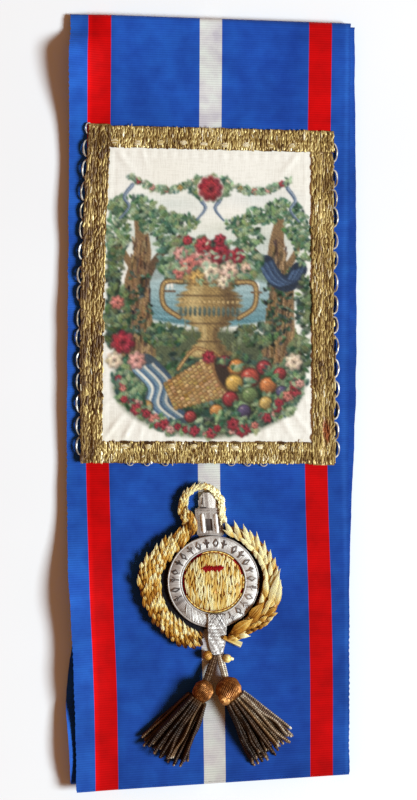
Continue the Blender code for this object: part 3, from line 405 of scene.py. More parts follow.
def ply_end(ply, share):
    """Where a ply's straight stretch ends at its top (share 1) or bottom fold (share 0)."""
    if share == 1:
        lower, upper, setback = (1, 4, 0.0) if ply in (1, 4) else (2, 3, INNER_FOLD_SETBACK)
    else:
        lower, upper, setback = (1, 2, BACK_FOLD_SETBACK) if ply in (1, 2) else (3, 4, 0.0)
    radius = (ply_height(upper, share) - ply_height(lower, share)) / 2
    reach = FOLDED_LENGTH / 2 - setback - radius - SILK / 2
    return reach if share == 1 else -reach


def front_height(share, across):
    """How far the front's soft ridges and shallow hollows lift it."""
    hollows = ripple(share * FOLDED_LENGTH + 0.2 * across * SASH_WIDTH, 70 * MM, 3)
    lift = -0.16 * MM * (1 + hollows)
    for along, side, reach_along, reach_across, height in FRONT_RIDGES:
        distance = ((share - along) / reach_along) ** 2 + ((across - side) / reach_across) ** 2
        lift = lift + SOLID_CLOTH * height * np.exp(-distance)
    return lift


# %% [markdown]
# The ribbon's ribs lie across it, about 1.2 mm apart. On the front they are real relief, four rows
# of points to a rib, because the low light of the photograph catches them. The hidden plies get
# fewer rows, and their ribs are a bump in the finish, which follows the distance along the cloth.

# %% Rows of the whole loop
RIB_PITCH = 1.2 * MM
RIB_HEIGHT = 0.07 * MM
ROWS_PER_RIB = 4
PLAIN_ROW = 3 * MM
FOLD_ROWS = 10


def straight_rows(ply, upwards, step):
    share = np.linspace(0, 1, int(FOLDED_LENGTH / step))
    share = share if upwards else share[::-1]
    y = ply_end(ply, 0) + share * (ply_end(ply, 1) - ply_end(ply, 0))
    shift, width = read_table(PLY_OUTLINES[ply], share).T
    return np.stack((y, ply_height(ply, share), share, shift, width, np.full_like(y, ply)), axis=1)


def fold_rows(start_ply, end_ply, share):
    angle = math.pi * np.arange(1, FOLD_ROWS) / FOLD_ROWS
    start, end = ply_height(start_ply, share), ply_height(end_ply, share)
    bulge = abs(start - end) / 2 * (1 if share == 1 else -1)
    y = ply_end(start_ply, share) + bulge * np.sin(angle)
    z = (start + end) / 2 + (start - end) / 2 * np.cos(angle)
    before, after = (read_table(PLY_OUTLINES[ply], share)[0] for ply in (start_ply, end_ply))
    t = (angle / math.pi)[:, None]
    shift, width = (before + (after - before) * t).T
    return np.stack((y, z, np.full_like(y, share), shift, width, np.zeros_like(y)), axis=1)


fine = RIB_PITCH / ROWS_PER_RIB
loop = np.concatenate((
    straight_rows(4, True, fine), fold_rows(4, 1, 1), straight_rows(1, False, PLAIN_ROW),
    fold_rows(1, 2, 0), straight_rows(2, True, PLAIN_ROW), fold_rows(2, 3, 1),
    straight_rows(3, False, PLAIN_ROW), fold_rows(3, 4, 0),
))
loop_run = distance_along(loop[:, :2])
print("The loop of ribbon is", round(float(loop_run[-1]), 3), "m round")

# %% [markdown]
# The stripes are woven in, so they belong to the cloth and not to a place in space. Each point
# remembers where it lies across the cloth as it was woven. The hand-made fold let the stripes
# drift a few millimetres, and the table below holds their middles where they were measured.

# %% Across the ribbon
# Share of the length, then the middles of the left, centre and right stripe as shares of the width
STRIPE_MIDDLES = (
    (0.01, -0.368, 0.016, 0.395),
    (0.14, -0.375, 0.010, 0.395),
    (0.23, -0.386, 0.003, 0.390),
    (0.36, -0.399, -0.003, 0.379),
    (1.00, -0.395, 0.002, 0.392),
)
WOVEN_MIDDLE = 0.393
# How far the plies stand off each other along the left edge, as a factor on their height. Its
# shadow shows it: flat at the top fold, then a bulge, then pressed down beside the lace.
LEFT_PUFF = (
    (0.000, 1.16), (0.020, 1.28), (0.060, 1.32), (0.085, 1.38), (0.125, 1.62), (0.200, 1.62),
    (0.240, 1.84), (0.290, 1.50), (0.340, 0.96), (0.400, 0.78), (0.500, 0.90), (0.620, 0.92),
    (0.690, 0.80), (0.760, 0.90), (0.826, 0.80), (0.872, 1.06), (0.893, 1.36), (0.918, 1.75),
    (0.944, 1.95), (0.962, 1.80), (0.975, 1.20), (0.984, 0.70), (1.000, 0.50),
)
PUFF_START = 0.72
# Near the bottom fold the second ply looks out on the left, and its edge curls up into the light.
# Share of the length, height of the curl in mm
CURL = ((0.00, 2.6), (0.015, 4.0), (0.07, 4.0), (0.095, 2.4), (0.115, 0.6), (0.14, 0.0), (1.0, 0.0))
COLUMNS = 25
EDGE_WANDER = 0.14 * MM


def woven_place(x, share):
    """Where across the woven cloth a point lies, from -0.5 to 0.5."""
    middles = read_table(STRIPE_MIDDLES, share)
    woven = np.empty_like(x)
    for i, (left, centre, right) in enumerate(middles):
        known = (left - 0.1, left, centre, right, right + 0.1)
        cloth = (-WOVEN_MIDDLE - 0.1, -WOVEN_MIDDLE, 0.0, WOVEN_MIDDLE, WOVEN_MIDDLE + 0.1)
        woven[i] = np.interp(x[i] / SASH_WIDTH, known, cloth)
    return woven


# %% Points of the whole ribbon
y, z, share, shift, width, ply = (column[:, None] for column in loop.T)
is_front = ply == 4
across = np.linspace(1, -1, COLUMNS)[None]
way = directions(loop[:, :2])
frayed = EDGE_WANDER * (ripple(loop_run, 4 * MM, 11) + ripple(loop_run, 27 * MM, 12))[:, None]
x = (shift + width * across / 2) * SASH_WIDTH + frayed * (np.abs(across) == 1) * np.sign(across)
slant = (BOTTOM_FOLD_SLANT + share * (TOP_FOLD_SLANT - BOTTOM_FOLD_SLANT)) * across / 2
lift = is_front * front_height(share, across)
ribs = is_front * RIB_HEIGHT * np.abs(np.sin(math.pi * loop_run / RIB_PITCH))[:, None]
edge_puff = read_table(LEFT_PUFF, loop[:, 2])
puff = 1 + (edge_puff - 1) * rise_between(-across, PUFF_START, 1)
curl = np.maximum(read_table(CURL, loop[:, 2]), 0) * MM * (ply == 2) * (across == -1)


def ribbon_side(offset):
    """One face of the silk, moved along its own normal."""
    height = (z + lift + way[:, :1] * offset) * puff + curl
    return np.stack((x, y + slant - way[:, 1:] * offset, height), axis=-1)


outer, inner = ribbon_side(SILK / 2 - RIB_HEIGHT + ribs), ribbon_side(-SILK / 2)
ribbon_rings = np.concatenate((outer, inner[:, ::-1]), axis=1)
woven = woven_place(x, loop[:, 2])
ribbon_woven = np.concatenate((woven, woven[:, ::-1]), axis=1)

# %% [markdown]
# ### Finish of the ribbed silk
#
# Red, white and blue are woven stripes with sharp edges. The dye took unevenly, so soft patches
# and smaller blotches vary it. Between two ribs the cloth is darker with painted shade, stronger in
# some patches, and fine threads run along it. Painted light makes the left margin paler and the
# right side darker, painted shade darkens the bottom, and a thin sheen gives the dull glow of silk.

# %% Stripes, dye and painted light
RED_HALF = 5.9 / 145
WHITE_HALF = 5.75 / 145
STRIPE_EDGE = 0.25 / 145
BLUE = ((0.28, 0.0115, 0.062, 0.320), (0.72, 0.0165, 0.090, 0.455))
RED = ((0.30, 0.560, 0.0005, 0.001), (0.70, 0.650, 0.0010, 0.002))
WHITE = ((0.30, 0.560, 0.565, 0.545), (0.70, 0.670, 0.675, 0.655))
DYE_PATCH, BLOTCH, RIB_SHADE_PATCH = 16 * MM, 5 * MM, 14 * MM
# Factors on the colour, by the painted shade between the ribs, by blotches, and by painted shade
# from the bottom to the top, darkest at the bottom
RIB_SHADE = ((0.22, 0.87, 0.88, 0.89), (0.62, 0.99, 0.99, 0.99), (0.98, 1.09, 1.09, 1.07))
BLOTCHES = ((0.32, 0.84, 0.80, 0.88), (0.50, 1.00, 0.99, 1.00), (0.68, 1.12, 1.20, 1.12))
SHADE_TOWARDS_BOTTOM = ((0.0, 0.87, 0.82, 0.80), (0.45, 0.95, 0.93, 0.92), (1.0, 1.0, 1.0, 1.0))
# Painted light from the left to the right edge: paler at the left margin, darker towards the right.
# The bright line at 0.983 runs close to the right edge.
PAINTED_LIGHT_ACROSS = (
    (0.000, 1.34, 1.30, 1.18), (0.070, 1.26, 1.26, 1.15), (0.085, 0.90, 0.90, 0.90),
    (0.150, 0.90, 0.90, 0.90), (0.170, 1.05, 1.03, 1.02), (0.500, 0.99, 0.97, 0.97),
    (0.800, 0.84, 0.80, 0.87), (0.930, 0.86, 0.83, 0.84), (0.975, 0.90, 0.86, 0.86),
    (0.983, 1.50, 1.32, 1.10), (0.991, 0.90, 0.86, 0.86), (1.000, 0.84, 0.80, 0.80),
)


def stripe(tree, place, middle, half):
    """1 inside a woven stripe and 0 outside it."""
    distance = calc(tree, "ABSOLUTE", calc(tree, "SUBTRACT", place, middle))
    inside = calc(tree, "DIVIDE", calc(tree, "SUBTRACT", half, distance), STRIPE_EDGE)
    return node(tree, "Clamp", {"Value": calc(tree, "ADD", inside, 0.5)}).outputs[0]


# %% The ribbon's finish
ribbon_finish, tree, shader = start_finish(
    "ribbed_silk", 0.70, Sheen_Weight=0.04, Sheen_Roughness=0.45, Specular_IOR_Level=0.07)
woven, run = read(tree, "woven"), read(tree, "run")
patches = noise(tree, DYE_PATCH, 4)
outer_stripes = stripe(tree, calc(tree, "ABSOLUTE", woven), WOVEN_MIDDLE, RED_HALF)
colour = blend(tree, outer_stripes, ramp(tree, patches, BLUE), ramp(tree, patches, RED))
colour = blend(tree, stripe(tree, woven, 0.0, WHITE_HALF), colour, ramp(tree, patches, WHITE))
# Painted shade between the ribs, stronger in some patches than in others
rib = calc(tree, "ABSOLUTE", calc(tree, "SINE", calc(tree, "MULTIPLY", run, math.pi / RIB_PITCH)))
uneven = calc(tree, "MULTIPLY", noise(tree, 1.3 * MM, 3, (0.08, 1, 1)), 0.8)
rib_shade_patches = calc(tree, "MULTIPLY", noise(tree, RIB_SHADE_PATCH, 2), 0.75)
painted_rib_shade = calc(tree, "ADD", calc(tree, "MULTIPLY", rib, rib_shade_patches), uneven)
colour = tinted(tree, colour, painted_rib_shade, RIB_SHADE)
colour = tinted(tree, colour, noise(tree, BLOTCH, 5), BLOTCHES)
height = node(tree, "SeparateXYZ", {0: node(tree, "TexCoord").outputs["Object"]}).outputs["Y"]
up_the_sash = calc(tree, "ADD", calc(tree, "MULTIPLY", height, 1 / FOLDED_LENGTH), 0.5)
# Painted shade: the sash gets darker towards the bottom
colour = tinted(tree, colour, up_the_sash, SHADE_TOWARDS_BOTTOM)
# Painted light across the sash: paler at the left margin, darker towards the right
colour = tinted(tree, colour, calc(tree, "ADD", woven, 0.5), PAINTED_LIGHT_ACROSS)
threads = calc(tree, "MULTIPLY", noise(tree, 0.22 * MM, 1, (1, 0.15, 1)), 0.35)
connect(tree, shader, colour, calc(tree, "ADD", rib, threads), RIB_HEIGHT)

# %% Make the ribbon
ribbon = Strands()
ribbon.values["woven"] = [ribbon_woven.ravel()]
ribbon.add(ribbon_rings, looped=True, run=loop_run)
sash = make_piece(ribbon, "striped_ribbon", ribbon_finish, ["sash_ribbon"])

# %% [markdown]
# ## Where the frame and the picture lie
#
# The lace frame was sewn by hand, so its four corners don't make a true rectangle. Everything in
# it is built from those corners: the silk panel is the frame moved inwards, and each lace is the
# strip between an outer and an inner line. Reading both from one table keeps them together.

# %% The frame's lines
FRAME_CORNERS = {
    "top_left": (-63.0 * MM, 142.6 * MM),
    "top_right": (63.5 * MM, 139.3 * MM),
    "bottom_right": (64.5 * MM, -33.1 * MM),
    "bottom_left": (-67.2 * MM, -32.5 * MM),
}
SIDES = {
    "top": ("top_left", "top_right"),
    "right": ("top_right", "bottom_right"),
    "bottom": ("bottom_right", "bottom_left"),
    "left": ("bottom_left", "top_left"),
}
LACE_WIDTH = 11.8 * MM
PANEL_INSET = 7.0 * MM
LEFT_BOW = 1.9 * MM
LEFT_BOW_REACH = 64 * MM


def side_line(side, inset):
    """A point and direction of the line that lies this far inside one side of the frame."""
    start, end = (np.array(FRAME_CORNERS[corner]) for corner in SIDES[side])
    direction = (end - start) / np.linalg.norm(end - start)
    return start - inset * left_of(direction), direction


def crossing(line_a, line_b):
    (point_a, along_a), (point_b, along_b) = line_a, line_b
    steps = np.linalg.solve(np.column_stack((along_a, -along_b)), point_b - point_a)
    return point_a + steps[0] * along_a


def inset_corner(first, second, inset):
    return crossing(side_line(first, inset), side_line(second, inset))


def bowed(points):
    """The frame's left side was sewn in a slight curve. This moves points there outwards."""
    x, y = points[..., 0], points[..., 1]
    low, high = FRAME_CORNERS["bottom_left"][1], FRAME_CORNERS["top_left"][1]
    bow = np.sin(math.pi * np.clip((y - low) / (high - low), 0, 1))
    moved = points.copy()
    moved[..., 0] -= LEFT_BOW * bow * np.clip(-x / LEFT_BOW_REACH, 0, 1) ** 2
    return moved


# %% [markdown]
# ## The printed picture
#
# The real panel is cream silk, printed in many colours and tinted by hand. The picture here is a
# new one. It could be an image texture, but painting it in code keeps the file free of images.
# The canvas is a grid of colours, as fine as the mesh. Each mark is a soft brush: an ellipse, a
# stroke along a line, or a cloud of small leaves.

# %% A canvas and its brushes
CANVAS_COLUMNS, CANVAS_ROWS = 228, 312
PICTURE_WIDTH, PICTURE_HEIGHT = 114.0, 156.0
SILK_CREAM = (238, 234, 221)
brush = seeded(41)

grid_x = (np.arange(CANVAS_COLUMNS) / (CANVAS_COLUMNS - 1) - 0.5) * PICTURE_WIDTH
grid_y = (np.arange(CANVAS_ROWS) / (CANVAS_ROWS - 1) - 0.5) * PICTURE_HEIGHT
canvas = np.tile(np.array(SILK_CREAM, float), (CANVAS_ROWS, CANVAS_COLUMNS, 1))


def window(x, y, reach):
    """The part of the canvas round a point, in the picture's own millimetres."""
    columns = slice(*np.searchsorted(grid_x, (x - reach, x + reach)))
    rows = slice(*np.searchsorted(grid_y, (y - reach, y + reach)))
    return (rows, columns), grid_x[None, columns] - x, grid_y[rows, None] - y


def lay_on(area, colour, cover):
    """Paints a colour over part of the canvas, as opaque as cover says."""
    cover = np.clip(cover, 0, 1)[..., None]
    canvas[area] = canvas[area] * (1 - cover) + np.asarray(colour, float) * cover


def dab(x, y, width, height, colour, turn=0.0, form=0.3, soft=0.35, strength=1.0):
    """An ellipse that is lighter towards the upper left by form, as a round thing is."""
    area, dx, dy = window(x, y, max(width, height) * 1.2)
    c, s = heading(turn)
    u, v = (dx * c + dy * s) / width, (dy * c - dx * s) / height
    light = 1 + form * (-dx * 0.6 + dy * 0.8) / max(width, height)
    shaded = np.clip(np.asarray(colour, float) * light[..., None], 0, 255)
    lay_on(area, shaded, strength * (1 - np.hypot(u, v)) / soft)


def stroke(points, width, colour, strength=1.0):
    """A line through points. Width may be one value or one for each end."""
    first, last = width if isinstance(width, tuple) else (width, width)
    points = np.asarray(points, float)
    for i, (start, end) in enumerate(zip(points, points[1:])):
        middle, reach = (start + end) / 2, np.linalg.norm(end - start) / 2 + first + last
        area, dx, dy = window(*middle, reach)
        px, py = dx + middle[0] - start[0], dy + middle[1] - start[1]
        way = end - start
        t = np.clip((px * way[0] + py * way[1]) / (way @ way), 0, 1)
        half = (first + (last - first) * (i + t) / (len(points) - 1)) / 2
        distance = np.hypot(px - t * way[0], py - t * way[1])
        lay_on(area, colour, strength * (half - distance) / 0.4 + 0.5 * strength)


# %% Curves, leaves and flowers
def smooth(points):
    """Points of a smooth curve through a few given ones, eight to a span."""
    ends = np.vstack((points[0], points, points[-1])).astype(float)
    t = np.arange(8)[:, None] / 8
    spans = []
    for before, start, end, after in zip(ends, ends[1:], ends[2:], ends[3:]):
        bend = 2 * before - 5 * start + 4 * end - after
        twist = 3 * start - before - 3 * end + after
        spans.append(start + 0.5 * ((end - before) * t + bend * t**2 + twist * t**3))
    return np.vstack((*spans, ends[-1:]))


def vary(colour, amount=18):
    """A colour made a little lighter or darker, and its tint shifted by less."""
    lighter = np.asarray(colour, float) + brush.normal(0, amount)
    return np.clip(lighter + brush.normal(0, 0.35 * amount, 3), 0, 255)


def foliage(x, y, width, height, count, colours, size=2.0):
    """A cloud of leaves, the dark ones first and the light ones on top of them."""
    for i in range(count):
        angle, out = brush.uniform(0, math.tau), math.sqrt(brush.random())
        at = (x + width * out * math.cos(angle), y + height * out * math.sin(angle))
        colour = vary(colours[min(int(i / count * len(colours)), len(colours) - 1)])
        length = size * brush.uniform(0.7, 1.3)
        dab(*at, length, length * 0.5, colour, brush.uniform(0, 180), 0.25, 0.5, 0.9)


def bloom(x, y, size, colour, petals=7):
    """A double flower: an outer and an inner round of petals about a dark heart."""
    dab(x, y, size * 1.05, size * 1.05, np.asarray(colour) * 0.45, form=0.1)
    for reach, petal, gain in ((0.66, 0.50, 0.85), (0.40, 0.40, 1.10), (0.16, 0.26, 0.80)):
        turn = brush.uniform(0, 360)
        for i in range(petals):
            angle = math.radians(turn + 360 * i / petals)
            at = (x + size * reach * math.cos(angle), y + size * reach * math.sin(angle))
            shade = vary(np.asarray(colour) * gain, 9)
            dab(*at, size * petal, size * petal * 0.7, shade, math.degrees(angle), 0.35, 0.55)
    dab(x, y, size * 0.14, size * 0.14, np.asarray(colour) * 0.40)


# %% [markdown]
# The scene is laid on from far to near, as a painter would: first the washes of sky and hills,
# then the lake and the grass, and an old oak at each side. The colours are those of old printed
# silk: dulled greens, brown, crimson and ochre.

# %% Sky, hills, lake and grass
LEAF_GREENS = ((26, 56, 44), (44, 86, 60), (74, 112, 74), (118, 140, 90))
PALE_GREENS = ((78, 112, 88), (110, 142, 104), (156, 174, 132))
DARK_GREENS = ((20, 38, 32), (30, 58, 42), (50, 80, 52), (88, 106, 62))
LAKE_BAND = (-16.0, 11.0)
# Place and size in mm, colour and softness
WASHES = (
    (-20, 46, 30, 9, (206, 216, 206), 1.4), (24, 50, 28, 8, (206, 212, 208), 1.5),
    (6, 34, 34, 8, (206, 208, 190), 1.3), (-30, 30, 22, 12, (178, 196, 182), 1.2),
    (30, 28, 24, 13, (182, 192, 176), 1.2), (0, 20, 50, 14, (184, 202, 198), 1.1),
    (-22, 10, 17, 9, (132, 150, 146), 0.3), (-4, 10, 15, 7, (150, 166, 158), 0.3),
    (16, 10, 18, 10, (124, 146, 130), 0.3), (34, 10, 14, 9, (100, 126, 100), 0.3),
)
for *where, colour, soft in WASHES:
    dab(*where, colour, form=0.15, soft=soft)

area, dx, dy = window(0, -2, 46)
level = np.clip((dy - 2 - LAKE_BAND[0]) / (LAKE_BAND[1] - LAKE_BAND[0]), 0, 1)
water = np.array((60, 116, 128)) + level[..., None] * np.array((112, 80, 66))
glimmer = 12 * ripple(dy + 0.08 * dx, 3.1, 8)
lay_on(area, water + glimmer[..., None], (1 - np.hypot(dx / 46, (dy + 0.5) / 14)) / 0.12)
# Two small boats, each with two sails
for x in (-20, 24):
    stroke(((x - 2.4, 2), (x + 2.4, 2)), 1.1, (96, 66, 46))
    for lean in (-0.9, 0.9):
        dab(x + lean, 5, 0.9, 3.0, (240, 234, 218), lean * 9, 0.2, 0.5)
dab(0, -44, 50, 29, (66, 76, 48), form=0.1, soft=0.12)
for x in np.arange(-46, 47, 0.9):
    y = -25 + 3.0 * math.sin(x * 0.4) + brush.uniform(-3, 8)
    blade = ((x, y), (x + brush.normal(0, 0.6), y + brush.uniform(2, 4)))
    stroke(blade, 0.8, vary((86, 96, 54), 16), 0.8)

# %% Two old oaks
def drape(points, breadth, colours):
    """Cloth: a broad stroke with stripes along it that get darker towards one side."""
    line = smooth(points)
    stroke(line, breadth, np.array(colours[0]) * 0.5)
    for i, k in enumerate(np.linspace(-0.42, 0.42, 9)):
        stripe_line = line + (k * breadth, 0.3 * k * breadth)
        stripe_colour = np.array(colours[i % len(colours)]) * (0.95 - 0.35 * k)
        stroke(stripe_line, breadth * 0.12, stripe_colour, 0.85)


BARK = ((84, 58, 36), (122, 88, 50), (154, 116, 68), (52, 36, 26))
# Trunk and two boughs: the line in mm, its width at both ends and its colour
OAK = (
    (((35, -34), (36, -12), (37, 6), (34, 22), (36, 38)), (18.0, 5.0), BARK[1]),
    (((34, 4), (27, 18), (18, 27), (12, 33)), (5.0, 1.2), BARK[0]),
    (((36, 10), (44, 22), (47, 34)), (4.4, 1.4), BARK[1]),
)
for side in (-1, 1):
    for points, width, colour in OAK:
        stroke(smooth([(side * x, y) for x, y in points]), width, colour)
    for i in range(260):
        y = brush.uniform(-34, 26)
        x = side * 35.5 + (8.6 - 0.09 * (y + 34)) * brush.uniform(-0.95, 0.95)
        furrow = ((x, y), (x + brush.normal(0, 0.5), y + brush.uniform(2, 6)))
        stroke(furrow, 0.9, vary(BARK[i % 4], 12), 0.75)
    for _ in range(40):
        foliage(side * 35 + brush.normal(0, 5), brush.uniform(-24, 14), 1.6, 1.4, 3, DARK_GREENS, 1.6)
drape(((29, 17), (34, 9), (41, 7), (46, 14)), 8.0, ((40, 66, 104), (66, 94, 128), (30, 50, 84)))

# %% Leaves round both of them
# Place and reach in mm, how many leaves, their colours and size
CROWNS = (
    (-40, 44, 12, 6, 150, LEAF_GREENS, 2.2), (-27, 37, 11, 7, 140, LEAF_GREENS, 2.2),
    (-47, 31, 6, 12, 120, LEAF_GREENS, 2.2), (-14, 36, 8, 5, 80, LEAF_GREENS, 2.0),
    (-20, 28, 9, 6, 90, LEAF_GREENS, 2.0), (-48, 12, 4, 12, 110, DARK_GREENS, 2.2),
    (45, 36, 7, 8, 90, LEAF_GREENS, 1.9), (28, 41, 9, 5, 90, LEAF_GREENS, 1.9),
    (38, 45, 9, 4, 70, LEAF_GREENS, 1.9), (16, 36, 8, 4.5, 70, LEAF_GREENS, 1.9),
    (48, 26, 5, 10, 90, LEAF_GREENS, 1.9), (21, 30, 7, 5, 60, LEAF_GREENS, 1.9),
    (49, -4, 4, 15, 130, DARK_GREENS, 2.2),
    (-46, -12, 6, 16, 170, DARK_GREENS, 2.6), (-22, -20, 11, 6, 130, DARK_GREENS, 2.2),
    (24, -20, 11, 6, 130, DARK_GREENS, 2.2), (46, -30, 6, 10, 110, DARK_GREENS, 2.4),
    (-12, -46, 27, 17, 330, DARK_GREENS, 2.8), (14, -46, 27, 17, 330, DARK_GREENS, 2.8),
    (0, -60, 32, 9, 230, DARK_GREENS, 2.8), (-38, -44, 8, 14, 170, LEAF_GREENS, 2.4),
    (39, -46, 7, 14, 150, LEAF_GREENS, 2.4), (0, 17, 27, 13, 330, LEAF_GREENS, 2.8),
)
for crown in CROWNS:
    foliage(*crown)

# %% [markdown]
# In the middle stands an ochre urn with roses. In front of it a basket has been tipped over, and
# fruit and flowers lie in the grass. Leaves go on after the fruit, so that every fruit is half
# hidden and none is a plain ball.

# %% Urn of roses
# Height and half width, in mm
URN = (
    (-29, 13.0), (-26, 9.5), (-23, 6.4), (-20, 4.6), (-17, 6.0), (-14, 11.2), (-11, 15.0), (-8, 17.4),
    (-5, 18.4), (-2, 18.0), (1, 16.0), (4, 13.4), (6.5, 12.8), (9, 15.8),
)
# Share of the width, shift from the middle and colour: the body, its lit and its shaded side
URN_LIGHT = ((1.0, 0.0, (146, 112, 56)), (0.34, -0.45, (196, 164, 96)), (0.36, 0.6, (84, 58, 30)))
for reach, offset, colour in URN_LIGHT:
    for y, half in URN:
        dab(offset * half, y, half * reach, 2.6, colour, form=0.1, soft=0.16 if offset == 0 else 0.9)
for y, half in ((-23, 6.4), (-14, 11.0), (0, 16.6), (6, 12.6)):
    stroke(((-half, y), (half, y)), 0.8, (84, 58, 30), 0.8)
for side in (-1, 1):
    handle = smooth(((side * 14, 7), (side * 23, 6), (side * 23, -5), (side * 15, -11)))
    stroke(handle, 2.6, (88, 60, 32))
    stroke(handle, 1.3, (172, 132, 68))
for x in np.arange(-14.4, 15, 2.4):
    dab(x, -8, 1.0, 3.0, (66, 84, 76), form=0.3)
    dab(x, -3.2, 0.8, 0.9, (192, 154, 88), form=0.3)
ROSE_COLOURS = (
    (152, 24, 38), (206, 132, 118), (222, 192, 156), (150, 26, 40), (196, 96, 82), (214, 168, 140),
    (168, 36, 46), (186, 140, 62),
)
for i in range(15):
    angle, out = 2.4 * i, 5.6 * math.sqrt(i)
    at = (0.95 * out * math.cos(angle), 17 + 0.62 * out * math.sin(angle))
    bloom(*at, 6.0 - 0.24 * i, ROSE_COLOURS[i % len(ROSE_COLOURS)])
foliage(0, 17, 24, 13, 60, PALE_GREENS, 1.9)

# %% Basket and cloth in front
CLOTH_STRIPES = ((92, 128, 150), (216, 212, 194), (52, 86, 120))
drape(((-32, -36), (-24, -45), (-25, -55), (-17, -62)), 13.0, CLOTH_STRIPES)
BASKET_TURN = 24.0
basket_way = heading(BASKET_TURN)
basket_up = left_of(basket_way)
basket_middle = np.array((-6.0, -45.0))
for k in np.linspace(-1, 1, 13):
    rib = basket_middle + basket_way * 14 * k
    half = 8.6 + 2.1 * k
    stroke((rib - basket_up * half, rib + basket_up * half), 2.6, vary((128, 88, 42), 10))
    for row in np.arange(-half, half, 1.9):
        at = rib + basket_up * (row + 0.9 * (round(k * 6) % 2))
        dab(*at, 1.35, 0.85, vary((178, 134, 70), 20), BASKET_TURN, 0.5, 0.4)
mouth = basket_middle + basket_way * 14.5
dab(*mouth, 4.6, 11.4, (120, 76, 36), BASKET_TURN, 0.3, 0.12)
dab(*mouth, 3.4, 9.8, (44, 30, 22), BASKET_TURN, 0.1, 0.2)
handle = smooth([mouth + basket_up * up - basket_way * back for up, back in ((10, 0), (17, 8), (11, 20))])
stroke(handle, 1.8, (104, 66, 32))
stroke(handle, 0.8, (186, 140, 74))
# %% Fruit and flowers round it
# Fruit: place, size and colour
FRUIT = (
    (14, -36, 4.6, (180, 100, 34)), (21, -41, 5.2, (158, 48, 34)), (13, -44, 4.8, (186, 138, 48)),
    (28, -36, 4.0, (138, 32, 36)), (21, -50, 4.6, (84, 106, 54)), (30, -45, 4.6, (176, 90, 36)),
    (11, -52, 4.2, (142, 30, 34)), (29, -54, 3.8, (168, 130, 56)), (36, -39, 3.4, (142, 34, 36)),
    (4, -58, 3.6, (174, 104, 40)), (18, -58, 3.6, (66, 52, 84)), (37, -48, 3.2, (62, 56, 88)),
    (-9, -61, 3.2, (144, 36, 36)), (-31, -56, 3.4, (168, 114, 48)), (8, -33, 3.2, (124, 30, 40)),
)
for x, y, size, colour in FRUIT:
    dab(x, y, size * 1.1, size * 1.08, np.asarray(colour) * 0.35, soft=0.2)
    dab(x, y, size, size * 0.97, colour, form=0.5, soft=0.3)
    glint = (x - size * 0.34, y + size * 0.4, size * 0.24, size * 0.18)
    dab(*glint, (226, 206, 170), form=0.0, soft=0.9, strength=0.7)
    foliage(x + brush.normal(0, 3), y - 3 + brush.normal(0, 1.5), 2.8, 2.0, 9, LEAF_GREENS, 2.2)
for i in range(34):
    c, s = heading(186 + 168 * i / 33)
    at = (44 * c + brush.normal(0, 1), -40 + 28.5 * s + brush.normal(0, 1))
    foliage(*at, 4, 3, 9, LEAF_GREENS, 2.4)
    bloom(*at, brush.uniform(1.8, 3.4), ROSE_COLOURS[(0, 3, 4, 6, 0, 1, 3)[i % 7]], 6)
# Single flowers: place, size and number of the colour
FLOWERS = (
    (-43, -24, 6.0, 0), (-36, -33, 4.6, 1), (-47, -33, 4.4, 2), (43, -33, 4.6, 2), (0, -31, 3.4, 3),
    (-46, -4, 3.6, 4),
)
for x, y, size, i in FLOWERS:
    bloom(x, y, size, ROSE_COLOURS[i])

# %% Garland and great rose at the top
sag = np.linspace(-1, 1, 25)
for side in (-1, 1):
    line = np.stack((side * (23 + 17 * sag), 59 - 6 * (1 - sag**2)), axis=1)
    stroke(line, 0.8, (76, 86, 58))
    for i, at in enumerate(line):
        foliage(*at, 2.2, 1.7, 5, PALE_GREENS, 1.7)
        if i % 5 == 2:
            bloom(*at, 1.8, ROSE_COLOURS[i % 8], 5)
    for x, breadth in ((1, 2.6), (40, 2.0)):
        end = smooth(((side * x, 55), (side * (x + 4), 49), (side * (x + 1.5), 44), (side * (x + 6), 38)))
        stroke(end, (breadth, 0.9), (62, 84, 114))
        stroke(end + (0.3, 0.2), (0.8, 0.3), (150, 168, 186), 0.7)
foliage(0, 54, 10, 6, 90, LEAF_GREENS, 2.4)
dab(0, 54, 7.4, 7.0, (232, 222, 200), form=0.1, soft=0.12)
bloom(0, 54, 6.4, (146, 26, 34), 9)

# %% [markdown]
# Engraved prints are full of fine dark lines, and old silk has stains. A little of both takes the
# airbrushed look away. Then the colours are turned from screen values into the linear ones that
# the renderer works with.

# %% Engraver's lines, age and the finished canvas
BLEEDING = 0.5
blurred = sum(np.roll(canvas, (i, j), (0, 1)) for i in (-1, 0, 1) for j in (-1, 0, 1)) / 9
canvas += BLEEDING * (blurred - canvas)
inked = 255 - canvas.min(axis=2, keepdims=True)
hatching = ripple(grid_y[:, None] + 0.9 * grid_x[None], 1.7, 5)[..., None]
grain = brush.normal(0, 1, (CANVAS_ROWS, CANVAS_COLUMNS, 1))
canvas *= 1 - np.clip(inked - 50, 0, 160) / 160 * (0.07 * hatching + 0.07 * grain) - 0.008 * grain
stain = ripple(grid_x, 60, 21)[None] * ripple(grid_y, 80, 22)[:, None]
canvas *= 1 - 0.02 * np.clip(stain, 0, 1)[..., None] * (0.3, 0.6, 1.6)
grey = canvas @ (0.35, 0.45, 0.20)
canvas = 0.80 * canvas + 0.20 * grey[..., None] * (1.03, 0.99, 0.92)
canvas = np.clip((canvas - 238) * 0.90 + 232, 0, 255)
picture = (canvas / 255) ** 2.2
print("Painted", CANVAS_COLUMNS, "by", CANVAS_ROWS, "points of colour")

# %% [markdown]
# ## The silk panel
#
# The silk is sewn down only at its edge, so it is loose in the middle and puckers at the corners.
# Puckers are long narrow bumps that run out of a corner. They are real shape here, because the
# low light makes each of them a bright and a dark line.

# %% Shape of the panel
PANEL_FLOOR = 6.7 * MM
PANEL_RISE = 0.85 * MM
